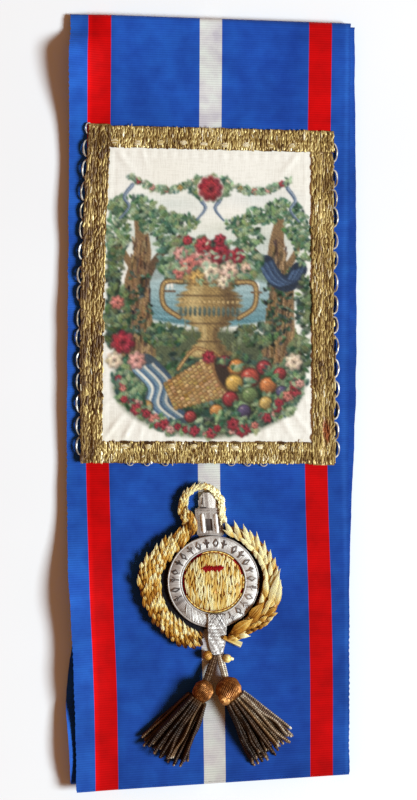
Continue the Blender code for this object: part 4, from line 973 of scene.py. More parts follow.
# Place in shares of half the sides, direction in degrees, length and width in mm, height in mm
PUCKERS = (
    (-0.84, -0.86, 52, 9.0, 1.5, 0.42), (-0.72, -0.90, 64, 8.0, 1.4, 0.40),
    (-0.60, -0.93, 80, 7.0, 1.3, 0.30), (-0.90, -0.70, 30, 8.0, 1.5, 0.28),
    (0.70, -0.86, 118, 12.0, 1.8, 0.34), (0.80, -0.80, 128, 11.0, 1.6, 0.30),
    (0.88, -0.68, 150, 9.0, 1.5, 0.25), (0.52, -0.92, 100, 7.0, 1.4, 0.22),
    (-0.80, 0.88, -50, 9.0, 1.7, 0.28), (-0.62, 0.93, -74, 7.0, 1.4, 0.22),
    (0.74, 0.88, 232, 9.0, 1.8, 0.24), (0.10, 0.95, 270, 6.0, 2.0, 0.16),
    (-0.94, 0.10, 5, 8.0, 1.8, 0.18), (0.94, 0.26, 178, 9.0, 1.8, 0.16),
    (-0.20, -0.94, 92, 6.0, 1.6, 0.20),
)
u, v = np.meshgrid(np.linspace(0, 1, CANVAS_COLUMNS), np.linspace(0, 1, CANVAS_ROWS))
low_left, low_right = (inset_corner("bottom", side, PANEL_INSET) for side in ("left", "right"))
high_left, high_right = (inset_corner("top", side, PANEL_INSET) for side in ("left", "right"))
bottom_edge = low_left + u[..., None] * (low_right - low_left)
top_edge = high_left + u[..., None] * (high_right - high_left)
flat_silk = bottom_edge + v[..., None] * (top_edge - bottom_edge)

x_mm, y_mm = (u - 0.5) * PICTURE_WIDTH, (v - 0.5) * PICTURE_HEIGHT
lift = 0.10 * (ripple(x_mm + 0.3 * y_mm, 46, 31) + ripple(y_mm - 0.4 * x_mm, 58, 32))
for place_x, place_y, turn, length, breadth, height in PUCKERS:
    dx, dy = x_mm - place_x * PICTURE_WIDTH / 2, y_mm - place_y * PICTURE_HEIGHT / 2
    c, s = heading(turn)
    lift += height * np.exp(-((dx * c + dy * s) / length) ** 2 - ((dy * c - dx * s) / breadth) ** 2)
from_edge = np.minimum(np.minimum(u, 1 - u) * PICTURE_WIDTH, np.minimum(v, 1 - v) * PICTURE_HEIGHT)
clear_of_lace = np.clip((from_edge - 3.5) / 4.5, 0, 1)
waves = np.sin(math.tau * y_mm / 5.8) + np.sin(math.tau * x_mm / 5.3)
scallops = 0.07 * waves * np.exp(-((from_edge - 6) / 3) ** 2)
height_mm = clear_of_lace * (lift - 0.05) + scallops * clear_of_lace
top_face = bowed(at_level(flat_silk, PANEL_FLOOR + PANEL_RISE + height_mm * MM)[:, ::-1])

# %% Finish of the panel
silk_finish, tree, shader = start_finish(
    "printed_silk", 0.50, Sheen_Weight=0.20, Sheen_Roughness=0.35, Specular_IOR_Level=0.35)
printed = node(tree, "Attribute", attribute_name="print").outputs["Color"]
warp = noise(tree, 0.35 * MM, 1, (1, 0.10, 1))
weft = noise(tree, 0.35 * MM, 1, (0.10, 1, 1))
weave = calc(tree, "ADD", warp, weft)
shade = ((0.55, 0.93, 0.925, 0.91), (1.0, 1.0, 1.0, 1.0), (1.35, 1.03, 1.03, 1.03))
connect(tree, shader, tinted(tree, printed, weave, shade), weave, 0.05 * MM, 0.6)

panel = Strands()
panel.add(close_below(top_face, PANEL_FLOOR))
panel_colours = np.ones((CANVAS_ROWS, CANVAS_COLUMNS + 2, 4))
panel_colours[:, :CANVAS_COLUMNS, :3] = picture[:, ::-1]
silk = make_piece(panel, "picture_silk", silk_finish, ["picture_panel"],
                  panel_colours.reshape(-1, 4))

# %% [markdown]
# ## Metal lace
#
# The frame is half-inch galloon: a band woven from flat metal threads, with loops of wire along
# its edge. Woven metal shows floats, the stretches where a thread lies on top before it dips
# under again. A bump texture would stay flat at the edge and would not glint one thread at a time,
# so each float is a small shape of its own over a dark woven ground.

# %% Corners and heights of the laces
LACE_LEVEL = 6.7 * MM
LACE_UPPER_LEVEL = 7.62 * MM
GROUND_THICKNESS = 0.32 * MM
CLIMB_START, CLIMB_END = 0.45, 0.61
GROUND_COLUMNS = 18
# How far the outer edge has come away from the ribbon
EDGE_CURL = {"top": 0.35 * MM, "right": 0.2 * MM, "bottom": 0.35 * MM, "left": 1.0 * MM}
GROUND_STEP = 0.6 * MM
# The side that each end meets, and how far inside it the outer and the inner edge stop. Three
# corners overlap. The one between the bottom and the left is mitred.
LACE_ENDS = {
    "top": (("left", LACE_WIDTH, LACE_WIDTH), ("right", 0.0, 0.0)),
    "right": (("top", LACE_WIDTH, LACE_WIDTH), ("bottom", 0.0, 0.0)),
    "bottom": (("right", LACE_WIDTH, LACE_WIDTH), ("left", 0.0, LACE_WIDTH)),
    "left": (("bottom", 0.0, LACE_WIDTH), ("top", 0.0, 0.0)),
}


def lace_corners(side):
    """Where a lace's outer edge starts and ends, and then its inner edge."""
    return [crossing(side_line(side, edge), side_line(other, cuts[i]))
            for i, edge in enumerate((0.0, LACE_WIDTH)) for other, *cuts in LACE_ENDS[side]]


def lace_level(share, side):
    """Height of the lace's underside at a share of its width, counted from the outer edge."""
    climb = (LACE_UPPER_LEVEL - LACE_LEVEL) * rise_between(share, CLIMB_START, CLIMB_END)
    return LACE_LEVEL + EDGE_CURL[side] * np.clip(1 - share / CLIMB_END, 0, 1) + climb


def lace_point(corners, share, along):
    """A point of the lace: share goes from its outer to its inner edge."""
    outer_start, outer_end, inner_start, inner_end = corners
    outer = outer_start + along[..., None] * (outer_end - outer_start)
    inner = inner_start + along[..., None] * (inner_end - inner_start)
    return outer + share[..., None] * (inner - outer)


# %% Ground of each lace
def make_ground(side, corners, seed):
    """The woven ground of one lace, with slightly frayed edges."""
    length = np.linalg.norm(corners[1] - corners[0])
    along = np.linspace(-0.002, 1.002, int(length / GROUND_STEP))[:, None]
    share = np.linspace(0.03, 0.97, GROUND_COLUMNS)[None]
    run = along * length
    edge = 0.02 * ripple(run, 9 * MM, seed) + 0.012 * ripple(run, 2.6 * MM, seed + 1)
    share = share + edge * (np.abs(share - 0.5) > 0.45)
    flat = lace_point(corners, share, along + 0 * share)
    low = at_level(flat, lace_level(share, side) + 0.04 * MM * (1 + ripple(run, 14 * MM, seed + 2)))
    high = low + (0, 0, GROUND_THICKNESS)
    ground = Strands()
    ground.add(np.concatenate((low, high[:, ::-1]), axis=1), tone=0.24)
    ground.points = [bowed(points) for points in ground.points]
    return make_piece(ground, f"lace_ground_{side}", lace_finish, [f"lace_{side}"])


# %% [markdown]
# ### Finish of tarnished metal thread
#
# The thread was gilt once. Now it runs from dark olive brown in the hollows to bright gold where
# the hand has rubbed it, with a few pinkish cream spots where the silk core shows. The tone of
# each float picks the colour, and patches of tarnish pull it towards brown.

# %% Lace finish
# A small spot on the right lace, near its foot, has turned red: its middle, and its reach both ways
RED_SPOT = (("X", 60.0 * MM, 3.2 * MM), ("Y", -15.5 * MM, 10 * MM))
LACE_COLOURS = (
    (0.02, 0.075, 0.034, 0.010), (0.20, 0.170, 0.095, 0.026), (0.40, 0.350, 0.230, 0.072),
    (0.60, 0.545, 0.395, 0.130), (0.80, 0.740, 0.600, 0.270), (1.00, 0.950, 0.880, 0.660),
)
lace_finish, tree, shader = start_finish("tarnished_metal_thread", 0.42, 0.42, Specular_IOR_Level=0.5)
colour = toned(tree, LACE_COLOURS, (6 * MM, 3, 0.75), (0.6 * MM, 1, 0.5))
place = node(tree, "SeparateXYZ", {0: node(tree, "TexCoord").outputs["Object"]}).outputs
away = [calc(tree, "POWER", calc(tree, "DIVIDE", calc(tree, "SUBTRACT", place[axis], middle), reach), 2)
        for axis, middle, reach in RED_SPOT]
distance = calc(tree, "ADD", calc(tree, "ADD", *away), noise(tree, 1.5 * MM, 2, (1, 0.3, 1)))
colour = tinted(tree, colour, distance, ((0.60, 0.62, 0.24, 0.18), (1.00, 1.0, 1.0, 1.0)))
connect(tree, shader, colour, winding(tree, 0.32 * MM), 0.02 * MM, 0.5)

# %% [markdown]
# On this sash the floats of all four laces lie along the sash: lengthwise on the upright laces, and
# crosswise on the level ones, where a second thread pattern shows. The same function makes both.
# It walks in columns over the lace and starts a new float wherever the last one dips under.

# %% Sizes, tones and creases
FLOAT_PITCH = 1.12 * MM
FLOAT_RADIUS = 0.57 * MM
FLOAT_POINTS = 7
RUBBED_SHARE = 0.06
# Shortest and longest float in mm, and the middle tone, for each lace
FLOATS = {
    "top": (2.4, 5.4, 0.56), "right": (2.8, 6.6, 0.47),
    "bottom": (2.4, 5.0, 0.58), "left": (2.8, 6.6, 0.46),
}
# How much darker all of a lace is, and how much painted shade it gets towards its outer edge
SIDE_TARNISH = {"top": 0.05, "right": 0.02, "bottom": 0.10, "left": 0.17}
EDGE_SHADE = {"top": 0.0, "right": 0.04, "bottom": 0.0, "left": 0.26}
# Two corners are folded. Their creases run between these points, and floats on them get painted
# shade.
CREASES = (((-58.6, -24.5), (-63.2, -30.7)), ((50.3, -20.4), (55.5, -14.2)))


def lace_ends(corners):
    """A point and an inward direction of unit length for each end of a lace."""
    start, end, inner_start, inner_end = corners
    pairs = ((start, start - inner_start), (end, inner_end - end))
    return [(point, -left_of(way) / np.linalg.norm(way)) for point, way in pairs]


def crease_shade(point):
    """1 on a crease, falling to 0 a millimetre away from it. It sets the painted shade of a float there.
    """
    gaps = []
    for start, end in np.array(CREASES) * MM:
        t = np.clip((point - start) @ (end - start) / ((end - start) @ (end - start)), 0, 1)
        gaps.append(np.linalg.norm(point - start - t * (end - start)))
    return max(0.0, 1 - min(gaps) / MM)


# %% Floats
def add_floats(strands, side, corners, seed):
    """Columns of floats along Y that cover one lace."""
    draw = seeded(seed)
    shortest, longest, middle_tone = FLOATS[side]
    low, high = np.min(corners, axis=0) - MM, np.max(corners, axis=0) + MM
    inner, way = side_line(side, LACE_WIDTH)
    outward = left_of(way)
    for column in np.arange(low[0], high[0], FLOAT_PITCH):
        y = low[1] - draw.uniform(0, 5) * MM
        while y < high[1]:
            length = draw.uniform(shortest, longest) * MM
            t = np.linspace(0, 1, FLOAT_POINTS)
            shift, bend = draw.normal(0, 0.20), draw.normal(0, 0.34)
            sway = shift + bend * np.sin(math.pi * t * draw.uniform(1.0, 2.2))
            path = np.stack((column + sway * MM, y + t * length), axis=1)
            share = 1 - ((path - inner) @ outward) / LACE_WIDTH
            over = draw.uniform(-0.03, 0.02)
            kept = (share > -over) & (share < 1 + over)
            for point, inwards in lace_ends(corners):
                kept &= (path - point) @ inwards > draw.uniform(-0.3, 0.3) * MM
            y += length * draw.uniform(0.72, 0.92)
            if kept.sum() < 3:
                continue
            path, share, t = path[kept], share[kept], np.linspace(0, 1, kept.sum())
            swell = np.sin(math.pi * np.clip(t, 0.04, 0.96)) ** 0.5
            level = lace_level(share, side) + GROUND_THICKNESS
            level = level + (0.34 * swell - 0.12) * MM * draw.uniform(0.6, 1.3)
            tone = np.clip(draw.normal(middle_tone, 0.14), 0.15, 0.95) + 0.12 * (swell - 0.8)
            if draw.random() < RUBBED_SHARE:
                tone = tone + 0.28
            # Painted shade on the creases
            tone = tone - 0.45 * crease_shade(path[len(path) // 2]) - SIDE_TARNISH[side]
            # Painted shade towards the lace's outer edge
            tone = tone - EDGE_SHADE[side] * np.clip(1 - share / 0.4, 0, 1)
            radius = FLOAT_RADIUS * draw.uniform(0.78, 1.1) * (0.30 + 0.70 * swell)
            strands.add(tube(at_level(path, level), radius, 5, flat=0.6), tone)


# %% [markdown]
# Thin bright wires lie over the floats here and there. Along the outer edges stand the picots,
# loops of pale plated wire. The table holds where they were measured: no two gaps are the same.

# %% Picots
# For each side a factor on the size of its picots, then where their middles are along it, in mm
PICOTS = {
    "left": (1.0, (140.1, 130.3, 119.5, 108.1, 97.8, 88.5, 77.1, 64.8, 55.5, 42.6, 32.2, 20.9, 9.5,
                   -1.8, -13.2, -23.5)),
    "right": (1.0, (128.2, 114.8, 104.0, 94.7, 82.8, 72.5, 61.1, 49.5, 39.0, 28.1, 16.8, 5.9, -4.9,
                    -15.7, -25.0)),
    "bottom": (0.36, (-41.5, -32.8, -23.5, 11.1, 18.8, 27.6)),
}
# The uppermost one on the left is smaller: its place and factor
SMALL_PICOT = {140.1: 0.62}
PICOT_DEPTH = 2.3 * MM
PICOT_WIRE = 0.47 * MM
PICOT_TUCK = 1.2 * MM


def add_picot(strands, side, place, size, draw):
    """A loop of wire that leaves the lace's outer edge and comes back to it."""
    start, way = side_line(side, 0.0)
    axis = 0 if side == "bottom" else 1
    foot = start + way * ((place * MM - start[axis]) / way[axis])
    out = left_of(way)
    half = draw.uniform(4.0, 4.8) * MM * size
    depth = PICOT_DEPTH * draw.uniform(0.86, 1.08) * size**0.5
    angle = np.linspace(0, math.pi, 17)
    bow = np.sin(angle) ** 0.75
    along = np.cos(angle) * half * (1 + 0.10 * bow) + draw.normal(0, 0.3) * MM * bow
    level = LACE_LEVEL + (0.32 + 0.36 * bow * draw.uniform(0.6, 1.2)) * MM
    away = (depth - PICOT_WIRE + PICOT_TUCK) * bow - PICOT_TUCK
    flat = foot + along[:, None] * way + away[:, None] * out
    wire = rope(at_level(flat, level), PICOT_WIRE * size**0.5, 1.6 * MM, 2, 0.14, 6)
    strands.add(wire, draw.uniform(0.60, 0.95))


# %% Thin wires
def add_glints(strands, side, corners, seed, count):
    """Short thin wires, painted bright as glints, on top of the floats."""
    draw = seeded(seed)
    for _ in range(count):
        share, along = draw.uniform(0.04, 0.96), draw.uniform(0.03, 0.97)
        middle = lace_point(corners, np.array(share), np.array(along))
        length = draw.uniform(1.4, 3.6) * MM
        t = np.linspace(-0.5, 0.5, 5)
        rise = GROUND_THICKNESS + (0.58 - 1.2 * t**2) * MM
        x = middle[0] + draw.normal(0, 0.35) * MM * t
        path = np.column_stack((x, middle[1] + t * length, lace_level(share, side) + rise))
        strands.add(tube(path, 0.25 * MM, 5), draw.uniform(0.70, 1.0))


# %% [markdown]
# The level laces show one thing more. Every eleven millimetres a small pad of pale pinkish thread
# lies near the inner edge, and on the bottom lace a dark strip of painted shade lies above each, in
# the gap there. They are the picots of that edge, folded back when the silk was covered.

# %% Folded loops of the level laces
PAD_PLACES = {
    "top": (-49.3, -36.9, -25.5, -14.2, -3.1, 7.7, 18.8, 30.7, 42.1),
    "bottom": (-43.9, -31.7, -20.0, -9.1, 2.0, 13.2, 25.5, 36.9),
}
# A pad, then a dark strip of painted shade for the gap above it: distance from the inner edge, half
# length and half height in mm, tone
PADS = {"top": ((3.2, 1.7, 1.1, 0.90),), "bottom": ((2.9, 1.8, 1.1, 0.94), (0.8, 2.3, 0.75, 0.12))}
PAD_LEVEL = LACE_UPPER_LEVEL + GROUND_THICKNESS + 0.42 * MM


def add_pad(strands, side, place, inset, half_length, half_height, tone, draw):
    """A small oval of threads that lie side by side along the lace."""
    line, way = side_line(side, LACE_WIDTH - inset * MM)
    foot = line + way * ((place * MM - line[0]) / way[0]) + draw.normal(0, 0.25, 2) * MM
    across = left_of(way)
    for row in np.linspace(-0.8, 0.8, 4):
        t = np.linspace(-1, 1, 7)
        reach = half_length * math.sqrt(1 - row * row) * draw.uniform(0.85, 1.15)
        flat = foot + way * (t * reach * MM)[:, None] + across * (row * half_height * MM)
        path = at_level(flat, PAD_LEVEL + 0.18 * MM * (1 - t**2))
        strands.add(tube(path, half_height * 0.30 * MM, 5), tone + draw.normal(0, 0.07))


# %% Make the picots
silver_loops, tree, shader = start_finish("plated_wire", 0.40, 0.35)
colour = ramp(tree, read(tree, "tone"), ((0.3, 0.42, 0.40, 0.35), (0.95, 0.74, 0.73, 0.68)))
colour = tinted(tree, colour, noise(tree, 2.5 * MM), ((0.35, 0.50, 0.42, 0.30), (0.58, 1.0, 1.0, 1.0)))
connect(tree, shader, colour, noise(tree, 0.3 * MM), 0.02 * MM)

picots = Strands()
picot_draw = seeded(77)
for lace_side, (size, places) in PICOTS.items():
    for place in places:
        add_picot(picots, lace_side, place, SMALL_PICOT.get(place, size), picot_draw)
picots.points = [bowed(points) for points in picots.points]
make_piece(picots, "lace_picots", silver_loops, ["lace_left"])

# %% Make the four laces
GLINTS = {"top": 46, "right": 70, "bottom": 70, "left": 26}
for seed, lace_side in enumerate(SIDES):
    corners = lace_corners(lace_side)
    ground = make_ground(lace_side, corners, 60 + 3 * seed)
    floats = Strands()
    add_floats(floats, lace_side, corners, 90 + seed)
    add_glints(floats, lace_side, corners, 130 + seed, GLINTS[lace_side])
    pad_draw = seeded(150 + seed)
    for place in PAD_PLACES.get(lace_side, ()):
        for pad in PADS[lace_side]:
            add_pad(floats, lace_side, place, *pad, pad_draw)
    floats.points = [bowed(points) for points in floats.points]
    top = make_piece(floats, f"lace_floats_{lace_side}", lace_finish,
                     [f"lace_{lace_side}"])
    length = float(np.linalg.norm(corners[1] - corners[0]))

# %% [markdown]
# ## The badge, from the felt up
#
# The badge is bullion embroidery: fine coiled wire, gold and silver, laid over padding on stiff
# black felt. The felt is cut a little inside the wreath, and shows as a dark gap round the ring.
# Its outline comes from the same tables of radii as the two branches on it.

# %% Places and outlines of the badge
BADGE_X, BADGE_Y = 1.5 * MM, -93.4 * MM
FELT_LEVEL = 6.7 * MM
BADGE_LEVEL = 8.2 * MM
WREATH_RADIUS = 32 * MM
WREATH_HEIGHT = 3.4 * MM
RING_OUTER, RING_INNER = 23.7 * MM, 16.2 * MM
WREATH_GAP = 0.6 * MM

# Angle about the ring, then inner and outer radius as shares of WREATH_RADIUS
WREATH_LEFT = (
    (112.0, 0.91, 1.03), (118.0, 0.82, 1.02), (128.0, 0.77, 1.02), (147.0, 0.77, 1.07),
    (163.0, 0.82, 1.19), (176.5, 0.84, 1.24), (190.0, 0.84, 1.20), (205.0, 0.84, 1.17),
    (219.5, 0.83, 1.16), (234.0, 0.81, 1.16), (247.0, 0.83, 1.14), (258.5, 0.86, 1.02),
)
WREATH_RIGHT = (
    (-74.5, 0.88, 0.98), (-66.0, 0.81, 1.00), (-55.0, 0.77, 1.01), (-40.5, 0.77, 1.10),
    (-24.5, 0.76, 1.13), (-8.0, 0.77, 1.08), (10.0, 0.79, 1.08), (26.0, 0.78, 1.03),
    (42.0, 0.76, 1.01), (59.0, 0.78, 0.98), (70.0, 0.79, 0.95), (77.0, 0.83, 0.90),
)


def on_badge(angle, radius):
    """Points at angles in degrees and radii about the middle of the ring."""
    angle, radius = np.broadcast_arrays(np.radians(angle), radius)
    return np.stack((BADGE_X + radius * np.cos(angle), BADGE_Y + radius * np.sin(angle)), axis=-1)


def badge_path(x, y, level):
    """A path given from the badge's middle, with its height."""
    return np.column_stack((BADGE_X + x, BADGE_Y + y, np.broadcast_to(level, x.shape)))


def branch_radii(rows, angle):
    inner, outer = read_table(rows, angle).T * WREATH_RADIUS
    return np.maximum(inner, RING_OUTER + WREATH_GAP), outer


# %% Felt
felt_angle = np.arange(-90, 270, 1.5)
turned = felt_angle % 360
felt_radius = np.where(turned < 180, RING_OUTER - 1.0 * MM, RING_OUTER + 1.0 * MM)
in_left, in_right = (turned >= 120) & (turned <= 258), (felt_angle >= -74) & (felt_angle <= 69)
felt_radius[in_left] = branch_radii(WREATH_LEFT, turned[in_left])[1] - 1.3 * MM
felt_radius[in_right] = branch_radii(WREATH_RIGHT, felt_angle[in_right])[1] - 1.3 * MM
felt_radius += 0.18 * MM * ripple(felt_angle, 5, 201)
# From the top down: height, and how far the edge is rounded inwards, in mm
FELT_EDGE = ((7.9, 0.35), (7.75, 0.0), (6.9, 0.0), (6.7, 0.2))
felt = Strands()
felt.add(np.array([at_level(on_badge(felt_angle, felt_radius - inset * MM), level * MM)
                   for level, inset in FELT_EDGE]))

felt_finish, tree, shader = start_finish("black_felt", 1.0, Specular_IOR_Level=0.05)
fuzz = noise(tree, 0.5 * MM, 4)
colour = ramp(tree, fuzz, ((0.3, 0.006, 0.005, 0.007), (0.7, 0.020, 0.018, 0.020)))
connect(tree, shader, colour, fuzz, 0.15 * MM)
make_piece(felt, "felt_backing", felt_finish, ["badge_backing"])

# %% [markdown]
# ## Bullion: padding, then laid wire
#
# A branch is a padded core with leaves on it. Each leaf is a fan of short wires side by side,
# from its foot to its tip. Laying real tubes costs more than a bump, but at a low light the tips
# of single wires are what makes bullion sparkle, and they give the branch its ragged outline.

# %% Leaves and padded cores
LEAF_LENGTH = 7.8 * MM
LEAF_WIDTH = 3.4 * MM
CORE_LAY = 0.75 * MM


def add_leaf(strands, foot, direction, length, width, level, tone, draw, wires=7):
    """A pointed leaf of laid wires with a raised middle, running past the edge of its branch."""
    across = left_of(direction)
    t = np.array((0.0, 0.22, 0.5, 0.78, 1.0))
    breadth = np.array((0.40, 0.92, 1.0, 0.62, 0.10))
    rise = np.array((-0.60, 0.15, 0.50, 0.45, -0.15)) * MM
    # Painted shade at the foot of each leaf and painted light towards its tip
    light = np.array((-0.34, -0.12, 0.06, 0.14, 0.20))
    for k in range(wires):
        side = (2 * k / (wires - 1) - 1) * 0.86
        reach = 1 - 0.14 * abs(side) + draw.normal(0, 0.03)
        flat = foot + direction * (t * length * reach)[:, None]
        flat = flat + across * (side * breadth * width / 2)[:, None]
        height = level + rise + (0.42 * (1 - side**2) - 0.25) * MM * breadth
        radius = width / wires * 0.62 * np.array((0.7, 1.0, 1.0, 0.85, 0.35))
        shade = tone + light + 0.14 * (k % 2 - 0.5) + draw.normal(0, 0.08)
        strands.add(tube(at_level(flat, height), radius, 5), shade)


def padded_core(strands, middles, outward, half, level, height, tone, depth=0.16):
    """A dome-topped core, ribbed by the wire wound round it. height: one value, or a column."""
    angle = np.linspace(0, math.pi, 13)
    slope = distance_along(middles)[:, None] + 0.5 * half[:, None] * np.cos(angle)
    ribbed = 1 + depth * (np.abs(np.sin(math.pi * slope / CORE_LAY)) - 0.5)
    reach = half[:, None] * np.sign(np.cos(angle)) * np.abs(np.cos(angle)) ** 0.8 * ribbed
    rise = height * np.abs(np.sin(angle)) ** 0.7 * ribbed
    top = at_level(middles[:, None] + reach[..., None] * outward[:, None], level + rise)
    strands.add(close_below(top, level), tone)


# %% [markdown]
# ### Finish of gold wire
#
# One finish serves every gold piece. Dark tones are the copper that shows where the gilding has
# gone, bright ones fresh gold that catches the lamp. The run along the wire draws its fine coils.

# %% Gold finish
WIRE_PATCHES = (3 * MM, 3, 0.6)
GOLDS = (
    (0.00, 0.045, 0.012, 0.002), (0.25, 0.350, 0.125, 0.010), (0.50, 0.660, 0.340, 0.045),
    (0.75, 0.880, 0.650, 0.190), (1.00, 1.000, 0.940, 0.560),
)
gold_finish = wire_finish("gold_bullion_wire", 0.40, 0.32, WIRE_PATCHES, GOLDS,
                          0.30 * MM, 0.03 * MM, 0.7, Specular_IOR_Level=0.6)

# %% [markdown]
# The branches differ. The left one and the hoop are finely cut: short leaves that all stand more or
# less upright, whichever way the branch turns. The right branch has fewer and larger leaves, pale
# at its top and dark and smooth as copper near the foot, where a cut stem sticks out.

# %% Bands of small leaves
GOLDEN_SHARE = 0.618
BRANCH_STEPS = 300


def leafy_band(strands, middles, half, rows, spacing, length, width, upright, tones, level, draw):
    """Small leaves spread over a band. tones: share along it, then tone at its inner and outer edge."""
    run, way = distance_along(middles), directions(middles)
    for i in range(int(rows * run[-1] / spacing)):
        place = (i + 0.5) * spacing / rows
        k = np.searchsorted(run, place)
        outward = left_of(way[k])
        row = 0.9 * (2 * ((i * GOLDEN_SHARE) % 1) - 1)
        up = np.array((0.0, 1.0 if way[k, 1] > -0.2 else -1.0))
        c, s = heading(26 * row + draw.normal(0, 12))
        direction = way[k] * c + outward * s + upright * up
        direction /= np.linalg.norm(direction)
        inner, outer = read_table(tones, place / run[-1])[0]
        tone = inner + (outer - inner) * (row + 1) / 2 + draw.normal(0, 0.25)
        size = length * draw.uniform(0.65, 1.35)
        foot = middles[k] + outward * row * half[k] - direction * 0.5 * size
        crown = level + 0.9 * MM * (1 - row * row) + draw.uniform(-0.35, 0.35) * MM
        add_leaf(strands, foot, direction, size, width * draw.uniform(0.85, 1.2), crown, tone, draw, 3)


# %% The core of a branch
def branch_frame(rows, angle):
    """The middle of a branch at each angle, the way outwards there and half its width."""
    inner, outer = branch_radii(rows, angle)
    outward = np.stack((np.cos(np.radians(angle)), np.sin(np.radians(angle))), axis=-1)
    return on_badge(angle, (inner + outer) / 2), outward, (outer - inner) / 2


def branch_core(strands, rows, growth, core_tone):
    """growth: 1 for a branch that grows counter-clockwise and -1 for the other way."""
    angle = np.linspace(rows[0][0], rows[-1][0], BRANCH_STEPS)[::growth]
    middles, outward, half = branch_frame(rows, angle)
    height = (WREATH_HEIGHT - 0.9 * MM) * np.minimum(1, half / (0.12 * WREATH_RADIUS))
    padded_core(strands, middles, growth * outward, half * 0.88, BADGE_LEVEL, height[:, None], core_tone)
    return middles, half


# %% Left branch
# Share along the branch from its foot, then tone at its inner and outer edge. Over the lower part the
# bright inner edge is painted light and the dark outer edge painted shade.
LEFT_TONES = (
    (0.0, 0.46, 0.36), (0.18, 0.88, 0.40), (0.42, 0.74, 0.30), (0.58, 0.68, 0.46), (0.75, 0.70, 0.66),
    (0.9, 0.52, 0.62), (1.0, 0.44, 0.48),
)
left, left_draw = Strands(), seeded(301)
middles, half = branch_core(left, WREATH_LEFT, -1, 0.24)
leafy_band(left, middles, half, 4.6, 2.1 * MM, 4.8 * MM, 1.6 * MM, 2.4, LEFT_TONES,
           BADGE_LEVEL + 1.9 * MM, left_draw)

# %% Right branch
# How many leaves, side, splay, length, width, seat on the branch, first and last place along it
RIGHT_LEAVES = (
    (10, 1, 26, 0.70, 0.62, 0.30, 0.02, 0.30), (9, -1, 26, 0.62, 0.60, 0.60, 0.04, 0.28),
    (9, 1, 44, 0.60, 0.58, 0.78, 0.03, 0.30), (13, 1, 32, 1.10, 0.74, 0.46, 0.30, 0.98),
    (12, -1, 6, 1.02, 0.68, 0.60, 0.28, 0.96), (10, 1, 12, 1.10, 0.64, 0.04, 0.30, 0.90),
)
# Share from the foot to the tip, tone
RIGHT_TONES = (
    (0.0, 0.62), (0.14, 0.44), (0.28, 0.50), (0.38, 0.78), (0.5, 0.92), (0.85, 1.00), (1.0, 0.84),
)
RIGHT_UPRIGHT = 0.35
right, right_draw = Strands(), seeded(302)
core_tones = np.interp(np.linspace(0, 1, BRANCH_STEPS), (0, 0.3, 0.5, 1), (0.26, 0.26, 0.42, 0.38))
branch_core(right, WREATH_RIGHT, 1, core_tones)
low_angle, high_angle = WREATH_RIGHT[0][0], WREATH_RIGHT[-1][0]
for count, row_side, splay, size, leaf_width, seat, first, last in RIGHT_LEAVES:
    for i in range(count):
        place = first + (last - first) * (i + right_draw.normal(0, 0.12)) / (count - 1)
        at = np.array([low_angle + (high_angle - low_angle) * place])
        middle, out, half_here = (value[0] for value in branch_frame(WREATH_RIGHT, at))
        c, s = heading(splay * row_side + right_draw.normal(0, 7))
        direction = left_of(out) * c + out * s + (0, RIGHT_UPRIGHT)
        direction /= np.linalg.norm(direction)
        leaf_length = size * LEAF_LENGTH * right_draw.uniform(0.85, 1.2)
        foot = middle + out * (row_side * seat * half_here) - direction * 0.40 * leaf_length
        tone = read_table(RIGHT_TONES, place)[0, 0] + right_draw.normal(0, 0.20)
        level = BADGE_LEVEL + WREATH_HEIGHT - 0.7 * MM + right_draw.uniform(-0.35, 0.35) * MM
        add_leaf(right, foot, direction, leaf_length, leaf_width * LEAF_WIDTH, level, tone, right_draw, 6)

# %% Single leaves and the cut stem
# Single leaves: foot, direction in degrees, length and width, all in mm, then tone and wires. Two
# lie dark on the low part, three long bright ones stand out at the side, one is by the stem.
SINGLE_LEAVES = (
    (11.6, -119.2, 34, 12.8, 5.8, 0.46, 10), (20.4, -112.0, 50, 11.0, 5.4, 0.46, 10),
    (30.6, -104.6, 74, 19.0, 3.8, 1.06, 6), (34.2, -105.0, 82, 13.4, 3.0, 1.00, 5),
    (28.6, -101.0, 92, 12.0, 3.0, 0.94, 5), (14.2, -120.6, -4, 6.4, 2.6, 0.96, 5),
)
stem_draw = seeded(303)
for foot_x, foot_y, turn, length, width, tone, wires in SINGLE_LEAVES:
    foot = np.array((foot_x, foot_y)) * MM
    add_leaf(right, foot, heading(turn), length * MM, width * MM, BADGE_LEVEL + 3.7 * MM, tone,
             stem_draw, wires)
# The cut stem, with a groove between each two of its wires
stem_foot, stem_way = np.array((7.4, -122.2)) * MM, np.array((0.915, -0.403))
stem_line = stem_foot + stem_way * np.linspace(-0.8, 9.3, 12)[:, None] * MM
stem_radius = np.linspace(1.05, 1.5, 12)[:, None] * (1 + 0.1 * np.cos(np.arange(14) * math.pi)) * MM
stem = at_level(stem_line, BADGE_LEVEL + np.linspace(1.2, 0.2, 12) * MM)
right.add(tube(stem, stem_radius, 14), np.linspace(0.62, 1.0, 12) ** 2)
make_piece(left, "gold_branch_left", gold_finish, ["wreath_left"])
make_piece(right, "gold_branch_right", gold_finish, ["wreath_right"])

# %% Hoop
HOOP_RADIUS, HOOP_HEIGHT = 10.1 * MM, 3.4 * MM
HOOP_X, HOOP_Y = BADGE_X - 5.8 * MM, BADGE_Y + 38.6 * MM
